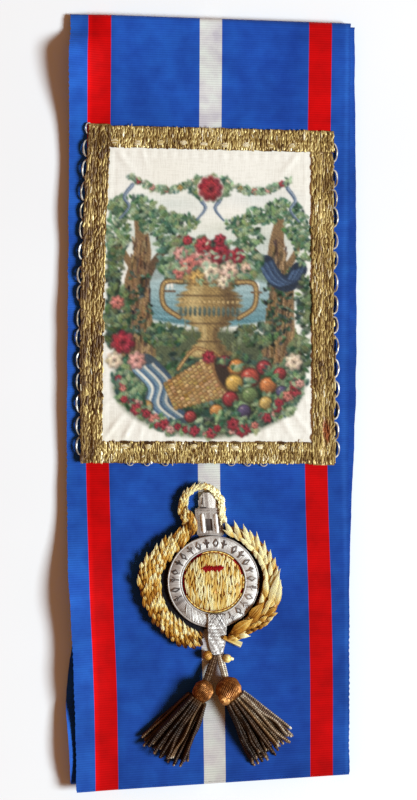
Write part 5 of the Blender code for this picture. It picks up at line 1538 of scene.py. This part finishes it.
# Angle about the hoop's centre, radius as a share of HOOP_RADIUS, half width as one of HOOP_HEIGHT
HOOP_ROWS = (
    (222.0, 1.00, 0.78), (208.0, 0.98, 0.80), (188.0, 0.98, 0.76), (160.0, 1.00, 0.64),
    (130.0, 1.02, 0.48), (100.0, 1.04, 0.36), (70.0, 1.04, 0.38), (42.0, 1.00, 0.48),
    (18.0, 0.99, 0.50), (-6.0, 1.02, 0.48), (-24.0, 1.14, 0.46), (-36.5, 1.36, 0.44),
)
HOOP_TONES = (
    (0.0, 0.54, 0.50), (0.12, 0.74, 0.70), (0.25, 1.02, 0.96), (0.5, 1.06, 1.04), (1.0, 1.02, 1.06),
)
# The neck joins the hoop to the left branch. Its points are in mm.
NECK_POINTS = ((-14.0, -69.6), (-11.0, -66.8), (-10.2, -63.6), (-11.6, -60.6), (-13.4, -57.8))
NECK_TONES = ((0.0, 0.52, 0.50), (1.0, 0.50, 0.60))
hoop_angle = np.linspace(222.0, -36.5, 260)
share, half = read_table(HOOP_ROWS, hoop_angle).T
radius, half = HOOP_RADIUS * share, half * HOOP_HEIGHT
around = np.radians(hoop_angle)
middles = np.column_stack((HOOP_X + radius * np.cos(around), HOOP_Y + radius * np.sin(around)))
outward = directions(middles)[:, ::-1] * (1, -1)
hoop, draw = Strands(), seeded(311)
padded_core(hoop, middles, outward, half * 0.95, FELT_LEVEL, HOOP_HEIGHT - 0.9 * MM, 0.86)
leafy_band(hoop, middles, half, 2.8, 1.8 * MM, 3.8 * MM, 1.35 * MM, 0.8, HOOP_TONES,
           FELT_LEVEL + 2.0 * MM, draw)
t = np.linspace(0, 4, 60)
neck = np.column_stack([np.interp(t, range(5), column) for column in np.array(NECK_POINTS).T * MM])
neck_half = (2.7 + 1.1 * np.sin(math.pi * t / 4)) * MM
neck_out = directions(neck)[:, ::-1] * (1, -1)
padded_core(hoop, neck, neck_out, neck_half, FELT_LEVEL, 2.9 * MM, 0.26)
leafy_band(hoop, neck, neck_half, 4, 1.7 * MM, 3.6 * MM, 1.35 * MM, 1.4, NECK_TONES,
           FELT_LEVEL + 2.6 * MM, draw)
make_piece(hoop, "gold_hoop", gold_finish, ["wreath_hoop"])

# %% [markdown]
# ## The silver ring
#
# Round the middle runs a padded band covered with pale thread, laid from its inner to its outer
# edge. Small dark marks are stitched on it. Two thin twisted cords cover its cut edges. The band
# is one turned shape with close to two hundred ridges, and each mark is a few short wires.

# %% Silver finish
SILVERS = (
    (0.00, 0.030, 0.022, 0.020), (0.25, 0.150, 0.122, 0.108), (0.50, 0.390, 0.340, 0.305),
    (0.75, 0.620, 0.580, 0.530), (1.00, 0.960, 0.940, 0.890),
)
silver_finish = wire_finish("silver_bullion_wire", 0.46, 0.28, WIRE_PATCHES, SILVERS,
                            0.34 * MM, 0.02 * MM, 0.5)

# %% Band of the ring
RING_RIDGES = 190
RING_MIDDLE = (RING_INNER + RING_OUTER) / 2
CORD_INSET = 0.45 * MM
turns = np.arange(RING_RIDGES * 4) / (RING_RIDGES * 4) * 360
ridge = np.abs(np.sin(np.radians(turns) * RING_RIDGES / 2))
across = np.linspace(1, 0, 13)
crown = np.sin(math.pi * across) ** 0.45
radius = RING_INNER + 0.3 * MM + across * (RING_OUTER - RING_INNER - 0.6 * MM)
rise = 0.9 * MM + crown * 1.05 * MM + (ridge[:, None] - 1) * 0.13 * MM * crown
top = at_level(on_badge(turns[:, None], radius), BADGE_LEVEL + rise)
ring, draw = Strands(), seeded(321)
wire_tones = np.repeat(draw.normal(0, 0.07, RING_RIDGES), 4)
# Painted light on the ring's right side and painted shade on its left
ring_tone = 0.69 + 0.05 * ripple(turns, 31, 322) + 0.17 * np.cos(np.radians(turns - 10)) + wire_tones
ring.add(close_below(top, BADGE_LEVEL), ring_tone, looped=True)
for edge, tone in ((RING_INNER + CORD_INSET, 0.60), (RING_OUTER - CORD_INSET, 0.58)):
    cord_path = at_level(on_badge(np.linspace(0, 360, 420), edge), BADGE_LEVEL + 1.25 * MM)
    ring.add(rope(cord_path, 0.48 * MM, 1.3 * MM, 2, 0.22, 8), tone)

# %% Marks on the ring
MARKS = 22
MARK_SIZE = 1.1 * MM
# Stitches of the two kinds of mark: where each starts and ends, round the ring and out, in mm
LOZENGE = (
    ((-1.0, 0.0), (0.0, 1.9)), ((0.0, 1.9), (1.0, 0.0)),
    ((1.0, 0.0), (0.0, -1.9)), ((0.0, -1.9), (-1.0, 0.0)),
)
SPRIG = (
    ((0.0, -1.9), (0.0, 1.8)), ((0.0, -0.5), (-1.1, 0.7)),
    ((0.0, -0.5), (1.1, 0.7)), ((0.0, 0.6), (-0.7, 1.6)),
)
for i in range(MARKS):
    angle = 205 - 280 * i / (MARKS - 1) + draw.normal(0, 1.0)
    out = heading(angle)
    middle = on_badge(angle, RING_MIDDLE)
    for start, end in (LOZENGE if i % 2 else SPRIG):
        start, end = (np.array(point) + draw.normal(0, 0.13, 2) for point in (start, end))
        t = np.linspace(-0.05, 1.05, 6)[:, None]
        along, up = (start + t * (end - start)).T
        line = middle + (along[:, None] * -left_of(out) + up[:, None] * out) * MARK_SIZE
        height = BADGE_LEVEL + 0.92 * MM + 1.12 * MM * np.sin(math.pi * (0.5 + up / 6.2)) ** 0.45
        # The marks get painted light on the right and painted shade on the left
        tone = draw.uniform(0.16, 0.40) + 0.12 * out[0]
        ring.add(tube(at_level(line, height), 0.38 * MM, 5), tone)

# The crosshatched patch at the ring's lower left
for lean in (38, -38):
    for step in np.linspace(-1, 1, 15):
        angle = 243 + 17 * step
        reach = np.linspace(-3.3, 3.3, 6)[:, None] * MM
        line = on_badge(angle, RING_MIDDLE) + heading(angle + lean) * reach
        from_middle = np.hypot(line[:, 0] - BADGE_X, line[:, 1] - BADGE_Y)
        share = np.clip((from_middle - RING_INNER) / (RING_OUTER - RING_INNER), 0.05, 0.95)
        height = BADGE_LEVEL + 1.1 * MM + 1.12 * MM * np.sin(math.pi * share) + 0.12 * MM * (lean > 0)
        ring.add(tube(at_level(line, height), 0.25 * MM, 5), draw.uniform(0.45, 1.0))
make_piece(ring, "silver_band", silver_finish, ["silver_ring"])

# %% [markdown]
# ## The golden middle
#
# Inside the ring a red cloth shows as thin crescents. On it is a dome of gold wires, all laid up
# and down, cut short and started again, so they leave dark slits. Each column of wire follows the
# dome, and its breaks are drawn at random. Two tufts of red thread sit near the top.

# %% Red ground
red_finish, tree, shader = start_finish("red_cloth", 0.8, Specular_IOR_Level=0.1)
fuzz = noise(tree, 0.5 * MM, 3)
colour = ramp(tree, fuzz, ((0.3, 0.14, 0.002, 0.004), (0.7, 0.42, 0.008, 0.010)))
connect(tree, shader, colour, fuzz, 0.08 * MM)


def turned_piece(strands, profile, tone=0.5):
    """A closed profile of (radius, height), outer edge first and over the top, round the badge."""
    radius, height = np.array(profile).T
    turns = np.arange(0, 360, 2.25)[:, None]
    strands.add(at_level(on_badge(turns, radius), height), tone, looped=True)


# Radius and height in mm
GROUND_PROFILE = (
    (15.9, 8.2), (15.9, 8.65), (15.6, 8.8), (8.0, 8.8), (0.05, 8.8), (0.05, 8.2), (8.0, 8.2),
)
ground = Strands()
turned_piece(ground, np.array(GROUND_PROFILE) * MM)
make_piece(ground, "red_cloth_ground", red_finish, ["red_ground"])

# %% Dome of gold wires
DISC_RADIUS = 15.0 * MM


def dome_level(x, y):
    share = np.clip(np.hypot(x, y) / DISC_RADIUS, 0, 1)
    return 9.7 * MM + 1.45 * MM * (1 - share**4)


disc, draw = Strands(), seeded(331)
profile = [(share * DISC_RADIUS, dome_level(share * DISC_RADIUS, 0) - 0.45 * MM)
           for share in (0.985, 0.93, 0.85, 0.7, 0.4, 0.01)]
turned_piece(disc, [(DISC_RADIUS * 0.985, 8.85 * MM), *profile, (0.01 * DISC_RADIUS, 8.85 * MM)], 0.36)
WIRE_PITCH = 0.80 * MM
for column in np.arange(-14.4 * MM, 14.5 * MM, WIRE_PITCH):
    reach = math.sqrt(max(DISC_RADIUS**2 - column**2, 0)) - 0.2 * MM
    y = -reach
    while y < reach - 0.8 * MM:
        length = min(draw.uniform(3.0, 10.0) * MM, reach - y)
        t = np.linspace(0, 1, 7)
        py = y + t * length
        sway = draw.normal(0, 0.10) * MM + 0.35 * MM * ripple(py, 7 * MM, 332 + int(column / MM))
        px = column + sway
        swell = np.sin(math.pi * t) ** 0.4
        fold = 0.6 * ripple(px + 0.3 * py, 9 * MM, 333) + 0.4 * ripple(py - 0.4 * px, 13 * MM, 334)
        height = dome_level(px, py) + (0.34 * swell - 0.16) * MM * draw.uniform(0.6, 1.4)
        path = badge_path(px, py, height + 0.35 * fold * MM)
        # Wires raised by a fold get painted light, wires in a dip painted shade
        tone = np.clip(draw.normal(0.84, 0.14), 0.4, 1.1) + 0.20 * float(np.mean(fold))
        disc.add(tube(path, 0.48 * MM * (0.4 + 0.6 * swell), 6), tone)
        y += length + draw.choice((-0.5, 0.0, 0.6), p=(0.4, 0.4, 0.2)) * MM
# %% Slits and edge of the dome
# Strands of painted shade, near black, in the slits where wires have come away: place across,
# lower and upper end, in mm from the middle
SLITS = (
    (8.7, -5.0, 9.4), (11.7, 1.3, 8.2), (6.4, 6.0, 10.2), (-3.4, -6.4, -0.9), (-7.8, -1.0, 5.4),
    (4.2, -9.6, -5.8), (10.4, -7.8, -3.4),
)
for across, low, high in SLITS:
    t = np.linspace(0, 1, 9)
    px, py = (across + 0.25 * np.sin(5 * t)) * MM, (low + t * (high - low)) * MM
    radius = 0.26 * MM * np.sin(math.pi * np.clip(t, 0.1, 0.9)) ** 0.5
    disc.add(tube(badge_path(px, py, dome_level(px, py) + 0.26 * MM), radius, 6), 0.06)
make_piece(disc, "gold_dome", gold_finish, ["gold_disc"])

# A gold cord hides the red cloth, except in crescents at the left, the right and the upper left
disc_edge = Strands()
for first, last in ((-12, 12), (48, 112), (138, 158), (206, 338)):
    angle = np.linspace(first, last, int((last - first) * 1.3))
    path = at_level(on_badge(angle, 15.55 * MM), 9.05 * MM)
    disc_edge.add(rope(path, 0.44 * MM, 1.2 * MM, 2, 0.2, 8), 0.55 + 0.2 * ripple(angle, 9, 335))
make_piece(disc_edge, "gold_dome_edge", gold_finish, ["gold_disc"])

# %% Red tufts
# Place across and up, half width and half height, as shares of the dome's radius
ACCENTS = {"left": (-0.235, 0.455, 0.185, 0.110), "right": (0.160, 0.480, 0.175, 0.125)}
for seed, (side, (across, along, half_width, half_height)) in enumerate(ACCENTS.items()):
    tuft, draw = Strands(), seeded(341 + seed)
    for k in np.linspace(-1, 1, 13):
        t = np.linspace(-1, 1, 7)
        reach = half_height * DISC_RADIUS * math.sqrt(max(1.1 - k * k, 0.1)) * draw.uniform(0.55, 1.3)
        lean = 0.5 * t + draw.normal(0, 0.3) * t
        px = across * DISC_RADIUS + k * half_width * DISC_RADIUS + (draw.normal(0, 0.15) + lean) * MM
        py = along * DISC_RADIUS + t * reach + draw.normal(0, 0.25) * MM
        path = badge_path(px, py, dome_level(px, py) + (0.55 - 0.40 * t**2) * MM)
        tuft.add(tube(path, 0.30 * MM * (1.1 - 0.5 * t**2), 6), draw.uniform(0.3, 0.7))
    make_piece(tuft, f"red_tuft_{side}", red_finish, [f"accent_{side}"])

# %% [markdown]
# ## Finial and tail
#
# Above the ring is a small dome on two pillars with a dark opening between them. Below it a strap
# hangs over the ring. Both are worked in silver wire: upright wires on the finial, crossed ones
# on the strap, and thick bright ones for the pillars.

# %% Sizes of the finial
FINIAL_WIDTH = 12.2 * MM
FINIAL_ROWS = (
    (0.00, 0.61), (0.12, 0.55), (0.34, 0.54), (0.52, 0.575), (0.60, 0.585), (0.645, 0.42),
    (0.80, 0.41), (0.90, 0.33), (0.96, 0.23), (1.00, 0.10),
)
FINIAL_FOOT, FINIAL_TOP = RING_OUTER + 0.1 * MM, 46.3 * MM
finial, draw = Strands(), seeded(351)


def finial_path(share, offset, height):
    """Points at shares of the height and offsets from its leaning middle, above the felt."""
    x = 2.2 * MM * (1 - share) - 3.6 * MM + offset
    y = FINIAL_FOOT + share * (FINIAL_TOP - FINIAL_FOOT)
    return badge_path(x, y, FELT_LEVEL + height)


# %% Wires of the finial
share = np.linspace(0.02, 0.98, 40)
half = read_table(FINIAL_ROWS, share)[:, 0] * FINIAL_WIDTH * 0.94
middles, outward = finial_path(share, 0, 0)[:, :2], np.tile((1.0, 0.0), (40, 1))
padded_core(finial, middles, outward, half, FELT_LEVEL, 1.35 * MM, 0.06, depth=0.02)
# The dark opening between the pillars: its lower and upper end, and half its width
OPENING = (0.13, 0.385, 1.6 * MM)
for offset in np.arange(-7.15, 7.16, 0.55) * MM:
    inside = np.flatnonzero(half > abs(offset) + 0.1 * MM)
    if len(inside) < 3:
        continue
    steps = np.linspace(share[inside[0]], share[inside[-1]], 22)
    runs = [steps]
    if -OPENING[2] - 0.5 * MM < offset < OPENING[2]:
        runs = [steps[steps > OPENING[1]], steps[steps < OPENING[0]]]
    for run in runs:
        if len(run) < 2:
            continue
        width = read_table(FINIAL_ROWS, run)[:, 0] * FINIAL_WIDTH
        dome = np.sqrt(np.clip(1 - (offset / width) ** 2, 0.05, 1))
        over = 1 + 0.35 * np.exp(-((run - 0.8) / 0.12) ** 2)
        path = finial_path(run, offset, 0.9 * MM + 0.95 * MM * dome * over)
        # The dome's wires are paler, and painted light makes them brighter on its right side than its left
        tone = draw.uniform(0.40, 0.80) + (0.28 + 0.12 * np.sign(offset)) * (run > 0.62)
        finial.add(tube(path, 0.34 * MM, 5), tone)
for offset in (-3.3 * MM, 3.6 * MM):
    pillar = finial_path(np.linspace(0.06, 0.50, 12), offset, 1.75 * MM)
    finial.add(rope(pillar, 1.0 * MM, 3 * MM, 6, 0.08, 14), 1.0)
# Cords across it: share of the height, half width in mm, tone. The lowest follows the ring.
for run, half_width, tone in ((0.03, 6.4, 0.5), (0.545, 6.9, 0.62), (0.605, 6.6, 0.5)):
    t = np.linspace(-1, 1, 12)
    path = finial_path(np.full(12, run), t * half_width * MM, (2.1 - 0.7 * t**2) * MM)
    path[:, 1] -= (run < 0.1) * 0.6 * MM * t**2
    finial.add(rope(path, 0.45 * MM, 1.1 * MM, 2, 0.2, 8), tone)
# Two dark stitches on the dome
for start, end in (((-4.05, -50.2), (-4.3, -53.6)), ((-5.35, -55.1), (-2.1, -55.3))):
    path = at_level(np.linspace(start, end, 5) * MM, FELT_LEVEL + 2.2 * MM)
    finial.add(tube(path, 0.34 * MM, 6), 0.02)
make_piece(finial, "silver_turret", silver_finish, ["silver_finial"])

# %% Tail
TAIL_X = BADGE_X + 1.9 * MM
TAIL_START = BADGE_Y - RING_INNER - 0.1 * MM
# Distance down the strap, height of its underside above the floor and width, all in millimetres
TAIL_ROWS = (
    (0.0, 10.45, 9.1), (4.0, 10.65, 9.3), (7.4, 10.30, 9.3), (9.6, 8.9, 9.2), (14.8, 6.85, 8.7),
    (18.9, 6.75, 6.8), (22.3, 6.75, 4.4),
)


def tail_path(down, across, rise):
    """Points down the strap in mm, across it from -1 to 1, and above its underside."""
    level, width = (value.reshape(down.shape) for value in read_table(TAIL_ROWS, down.ravel()).T * MM)
    places = (TAIL_X + across * width / 2, TAIL_START - down * MM, level + rise)
    return np.stack(np.broadcast_arrays(*places), axis=-1)


tail, draw = Strands(), seeded(361)
down, side = np.linspace(0, 22.3, 46), np.linspace(-1, 1, 9)
top = tail_path(down[:, None], side, 0.45 * MM + 0.35 * MM * (1 - side**2))
low = tail_path(down[:, None], side, 0.0)
tail.add(np.concatenate((top, low[:, ::-1]), axis=1), 0.20)
for lean in (1, -1):
    for start in np.arange(-15, 24, 1.35):
        d = start + np.linspace(0, 15.0, 20)
        t = np.linspace(-1, 1, 20) * lean
        inside = (d > 0.1) & (d < 22.0)
        if inside.sum() < 4:
            continue
        d, t = d[inside], t[inside]
        weave = 0.10 * np.sin(d * 3.3 + (lean > 0) * math.pi)
        path = tail_path(d, 0.94 * t, (0.62 + 0.35 * (1 - t**2) + weave) * MM)
        tail.add(tube(path, 0.29 * MM, 5), np.clip(draw.normal(0.56, 0.24), 0.05, 1.0))
for edge in (-0.96, 0.96):
    tail.add(rope(tail_path(down, edge, 0.60 * MM), 0.36 * MM, 1.0 * MM, 2, 0.2, 6), 0.6)
make_piece(tail, "silver_strap", silver_finish, ["silver_tail"])

# %% [markdown]
# ## Knots and tassel heads
#
# The little gold knots and the tassel heads are balls wound with wire from pole to pole. A ball
# could be dozens of separate wires, but they would meet in a jumble at the poles. One surface with
# a rib for each wire looks the same and closes cleanly, so the ribs are cut into its sections.

# %% Wound balls
def wound_ball(strands, centre, direction, half_length, half_widths, ribs, depth, twist, tone):
    """A ball about an axis that lies level, with ribs of wire that run round it from pole to pole."""
    along = heading(direction)
    place = np.linspace(-0.985, 0.985, 27)[:, None]
    angle = np.arange(ribs * 5) / (ribs * 5) * math.tau
    wound = angle + twist * place
    rib = np.abs(np.sin(ribs * wound / 2)) ** 0.7
    uneven = 1 + 0.035 * ripple(place + 0.3 * np.sin(angle), 0.9, ribs + 1)
    reach = (1 - place**2) ** 0.46 * (1 - depth + depth * rib) * uneven
    across = (reach * half_widths[0] * np.cos(angle))[..., None]
    flat = centre[:2] + along * (place * half_length)[..., None] - left_of(along) * across
    points = at_level(flat, centre[2] + reach * half_widths[1] * np.sin(angle))
    ticks = ripple(place + 0.15 * np.sin(7 * angle), 0.35, ribs) * ripple(wound, 0.4, ribs + 2)
    # Painted light on the ridges of wound wire and painted shade in the grooves between them; the ticks
    # add short bright marks
    strands.add(points, tone + 0.34 * (rib - 0.6) + 0.50 * np.maximum(ticks, -0.3))


# %% [markdown]
# ### Finishes of the knots, heads and fringe
#
# The heads have lost their gilding and are orange brown. The fringe was gold once and is nearly
# black in the hollows now; ochre and grey are painted light where light reaches it. Its strands
# are twisted pairs, so their own shape makes the fine light and dark bars.

# %% Bronze and fringe finishes
BRONZES = (
    (0.00, 0.030, 0.009, 0.003), (0.35, 0.160, 0.050, 0.010), (0.65, 0.390, 0.150, 0.032),
    (1.00, 0.720, 0.390, 0.130),
)
bronze_finish, tree, shader = start_finish("bronze_wire", 0.42, 0.70)
colour = toned(tree, BRONZES, (2.5 * MM, 2, 0.5))
connect(tree, shader, colour, noise(tree, 0.25 * MM, 2), 0.04 * MM)

FRINGE_COLOURS = (
    (0.00, 0.012, 0.006, 0.003), (0.25, 0.075, 0.034, 0.012), (0.45, 0.190, 0.105, 0.042),
    (0.70, 0.330, 0.265, 0.190), (1.00, 0.780, 0.700, 0.560),
)
fringe_finish = wire_finish("tarnished_fringe", 0.46, 0.50, (3.5 * MM, 2, 0.35), FRINGE_COLOURS,
                            0.26 * MM, 0.02 * MM, 0.5)

# %% Knots and heads
FLOOR_OF_TASSELS = 6.75 * MM
TAIL_END_Y = BADGE_Y - 38.8 * MM
KNOT_RADIUS = 2.4 * MM
# Side of the strap, place in mm from the middle of the strap's end, size and tone
KNOTS = {
    "left": (-1, (-5.092, 0.84), 1.04, 0.28),
    "right": (1, (5.212, -0.72), 0.92, 0.72),
}
for key, (side, place, size, tone) in KNOTS.items():
    knot = Strands()
    radius = KNOT_RADIUS * size
    middle = np.array((TAIL_X, TAIL_END_Y)) + np.array(place) * MM
    centre = np.array((*middle, FLOOR_OF_TASSELS + radius))
    wound_ball(knot, centre, 60 * side, radius * 1.02, (radius, radius * 0.97), 26, 0.10, 0.8, tone)
    if key == "right":
        tip = centre + np.linspace((1.2, 0.3, 0.2), (3.3, -0.5, 0.2), 5) * MM
        knot.add(rope(tip, 0.85 * MM, 1.5 * MM, 3, 0.15, 10), 1.0)
    make_piece(knot, f"gold_knot_{key}", gold_finish, [f"gold_ball_{key}"])

# Centre of the head, its half length and half widths, all in mm, direction of the skirt in degrees,
# its width as a share, seed
TASSELS = {
    "left": ((-3.9, -149.4, 11.95), 6.0, (5.3, 5.1), 236.8, 1.05, 401),
    "right": ((9.3, -148.5, 12.2), 6.5, (6.7, 5.4), 306.5, 1.10, 402),
}
for key, (centre, half_length, half_widths, direction, _, seed) in TASSELS.items():
    head = Strands()
    centre = np.array(centre) * MM
    wound_ball(head, centre, direction, half_length * MM, np.array(half_widths) * MM, 40, 0.11, 0.25, 0.42)
    if key == "right":
        # A smaller ball of brighter wire beside the first
        bulge = centre + (*heading(direction - 62) * 4.9 * MM, 2.1 * MM)
        wound_ball(head, bulge, direction, 3.6 * MM, (2.9 * MM, 2.7 * MM), 24, 0.12, 0.6, 0.74)
    make_piece(head, f"tassel_knob_{key}", bronze_finish, [f"tassel_head_{key}"])

# %% Cords between the strap and the heads
# Tone of each of the three cords and its shift to one side in mm, then a factor on the tones: painted
# shade on the left cords and painted light on the right ones
CORDS = ((0.62, -1.0), (0.78, 0.0), (0.70, 1.0))
CORD_LIGHT = {"left": 0.40, "right": 1.15}
for key, side in (("left", -1), ("right", 1)):
    cords = Strands()
    start = np.array((TAIL_X + side * 1.2 * MM, TAIL_END_Y + 0.9 * MM, FLOOR_OF_TASSELS + 1.0 * MM))
    goal = np.array(TASSELS[key][0]) * MM
    way = goal - start
    end = goal - way / np.linalg.norm(way) * 4.9 * MM
    across = left_of(way) / np.linalg.norm(way[:2])
    for tone, shift in CORDS:
        t = np.linspace(0, 1, 56)[:, None]
        bow = np.sin(math.pi * t)
        path = start + t * (end - start)
        path[:, :2] += across * shift * MM * (0.85 + 0.25 * bow)
        path[:, 2] += (0.5 * bow[:, 0] + 0.25 * (shift == 0)) * MM
        cords.add(rope(path, 0.78 * MM, 1.9 * MM, 2, 0.22, 8), tone * CORD_LIGHT[key])
    make_piece(cords, f"tassel_cord_twist_{key}", fringe_finish, [f"tassel_cord_{key}"])

# %% [markdown]
# ## Fringe
#
# A skirt is about fifty twisted cords. All start under the head and fan out; the lower ones come
# down to the ribbon soon and the upper ones lie on top of them. Each cord gets its own length and
# a slight wave. The left tassel lies in shade, and its cords are dark with painted shade; on the
# right one painted light makes the outer cords greyer. Cords could be a particle system, but laid
# by a table they fan exactly as they should.

# %% Skirts
SKIRT_LENGTH = 34.5 * MM
ROOT_WIDTH, SKIRT_END_WIDTH = 10.8 * MM, 26.6 * MM
CORD_RADIUS = 0.76 * MM
TWIST_PITCH = 2.2 * MM
LOWEST_CORD = 0.82
# For each layer: how many cords, height of its root and of its end over the cloth in mm
LAYERS = ((17, 1.0, 0.9), (14, 3.6, 2.2), (11, 6.6, 3.4), (7, 8.0, 4.6))

for key, (centre, half_length, _, direction, width, seed) in TASSELS.items():
    skirt, draw = Strands(), seeded(seed)
    along = heading(direction)
    across = left_of(along)
    root = np.array(centre[:2]) * MM + along * (half_length - 1.2) * MM
    for layer, (count, root_height, end_height) in enumerate(LAYERS):
        for i in range(count):
            place = (2 * (i + draw.normal(0, 0.33)) / (count - 1) - 1) * (1 - 0.08 * layer)
            length = SKIRT_LENGTH * draw.uniform(0.86, 1.05) * (1 - 0.04 * abs(place)) + 1.0 * MM
            t = np.linspace(0, 1, int(length / TWIST_PITCH * 7))
            spread = ROOT_WIDTH + (SKIRT_END_WIDTH - ROOT_WIDTH) * t**0.92
            sway = (0.9 * draw.normal(0, 1) + 0.8) * t * MM
            sway = sway * ripple(t * 34, 30, seed * 10 + layer * 40 + i)
            aside = place * (spread * width / 2 - CORD_RADIUS) + sway
            flat = root + along * (t * length)[:, None] + across * aside[:, None]
            fallen = np.clip(t / (0.52 + 0.10 * layer), 0, 1) ** 0.9
            level = root_height + (end_height - root_height) * fallen
            level = np.maximum(level + 0.25 * ripple(t * 34, 26, seed + layer * 7 + i), LOWEST_CORD)
            # The left skirt is darkened with painted shade; on the right skirt painted light makes the
            # cords towards its right side greyer
            if key == "left":
                tone = 0.06 + 0.11 * draw.random() + 0.22 * (draw.random() < 0.12)
            else:
                tone = 0.05 + 0.14 * draw.random()
                tone += 0.52 * np.clip(place * 1.8 + 0.2, 0, 1) * draw.choice((0.2, 0.8, 1.0))
            tone = tone + 0.55 * (draw.random() < 0.45) * np.clip((t - 0.93) / 0.07, 0, 1)
            tone = tone + 0.18 * np.clip((0.10 - t) / 0.10, 0, 1)
            path = at_level(flat, FLOOR_OF_TASSELS + level * MM)
            radius = CORD_RADIUS * draw.uniform(0.88, 1.06)
            skirt.add(rope(path, radius, TWIST_PITCH, 2, 0.26, 8, 0.45), tone)
    make_piece(skirt, f"tassel_fringe_{key}", fringe_finish, [f"tassel_skirt_{key}"])

# %% [markdown]
# ## Light, floor and camera
#
# The camera hangs straight above the sash. One large soft lamp stands low on the right, a little
# towards the bottom, so every thread has a lit and a shaded side. The light that comes back from
# the room is warm and dim and makes the shadows brown, while the backdrop itself is pale.

# %% Floor
FLOOR_SIZE = 3
floor_finish, tree, shader = start_finish("paper", 0.9, Specular_IOR_Level=0.1)
colour = ramp(tree, noise(tree, 40 * MM), ((0.3, 0.862, 0.862, 0.858), (0.7, 0.880, 0.880, 0.876)))
connect(tree, shader, colour, noise(tree, 0.6 * MM), 0.02 * MM, 0.3)
bpy.ops.mesh.primitive_plane_add(size=FLOOR_SIZE, location=(0, 0, 0))
floor = bpy.context.object
floor.name = "floor_paper"
floor.data.materials.append(floor_finish)
floor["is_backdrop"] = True

# %% Lamp and room
LAMP_TURN = math.radians(-12)
LAMP_RISE = math.radians(38)
LAMP_DISTANCE = 4.0
LAMP_SIZE = (1.44, 1.09)
LAMP_WATTS = 284
LAMP_COLOUR = (0.79, 0.92, 1.0)
ROOM_STRENGTH = 0.27
WARM_ROOM, PALE_BACKDROP = (1.0, 0.48, 0.22), (3.0, 3.0, 3.0)

lamp_data = bpy.data.lights.new("soft_lamp", "AREA")
lamp_data.shape = "RECTANGLE"
lamp_data.size, lamp_data.size_y = LAMP_SIZE
lamp_data.energy = LAMP_WATTS
lamp_data.color = LAMP_COLOUR
lamp = bpy.data.objects.new("soft_lamp", lamp_data)
reach, rise = LAMP_DISTANCE * math.cos(LAMP_RISE), LAMP_DISTANCE * math.sin(LAMP_RISE)
lamp.location = (reach * math.cos(LAMP_TURN), reach * math.sin(LAMP_TURN), rise)
lamp.rotation_euler = (math.pi / 2 - LAMP_RISE, 0, LAMP_TURN + math.pi / 2)
bpy.context.scene.collection.objects.link(lamp)

world = bpy.data.worlds.new("room")
world.use_nodes = True
tree = world.node_tree
background = tree.nodes["Background"]
background.inputs["Strength"].default_value = ROOM_STRENGTH
seen = node(tree, "LightPath").outputs["Is Camera Ray"]
tree.links.new(blend(tree, seen, WARM_ROOM, PALE_BACKDROP), background.inputs["Color"])
bpy.context.scene.world = world

# %% Camera
CAMERA_AT = (-1.03 * MM, 0.26 * MM, 1.0076)
CAMERA_LENS, CAMERA_SENSOR = 87.2, 36
camera_data = bpy.data.cameras.new("camera")
camera_data.lens = CAMERA_LENS
camera_data.sensor_width = CAMERA_SENSOR
camera = bpy.data.objects.new("camera", camera_data)
camera.location = CAMERA_AT
bpy.context.scene.collection.objects.link(camera)
bpy.context.scene.camera = camera
bpy.context.scene.view_settings.view_transform = "Standard"

# %% Finish the frame
low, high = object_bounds()
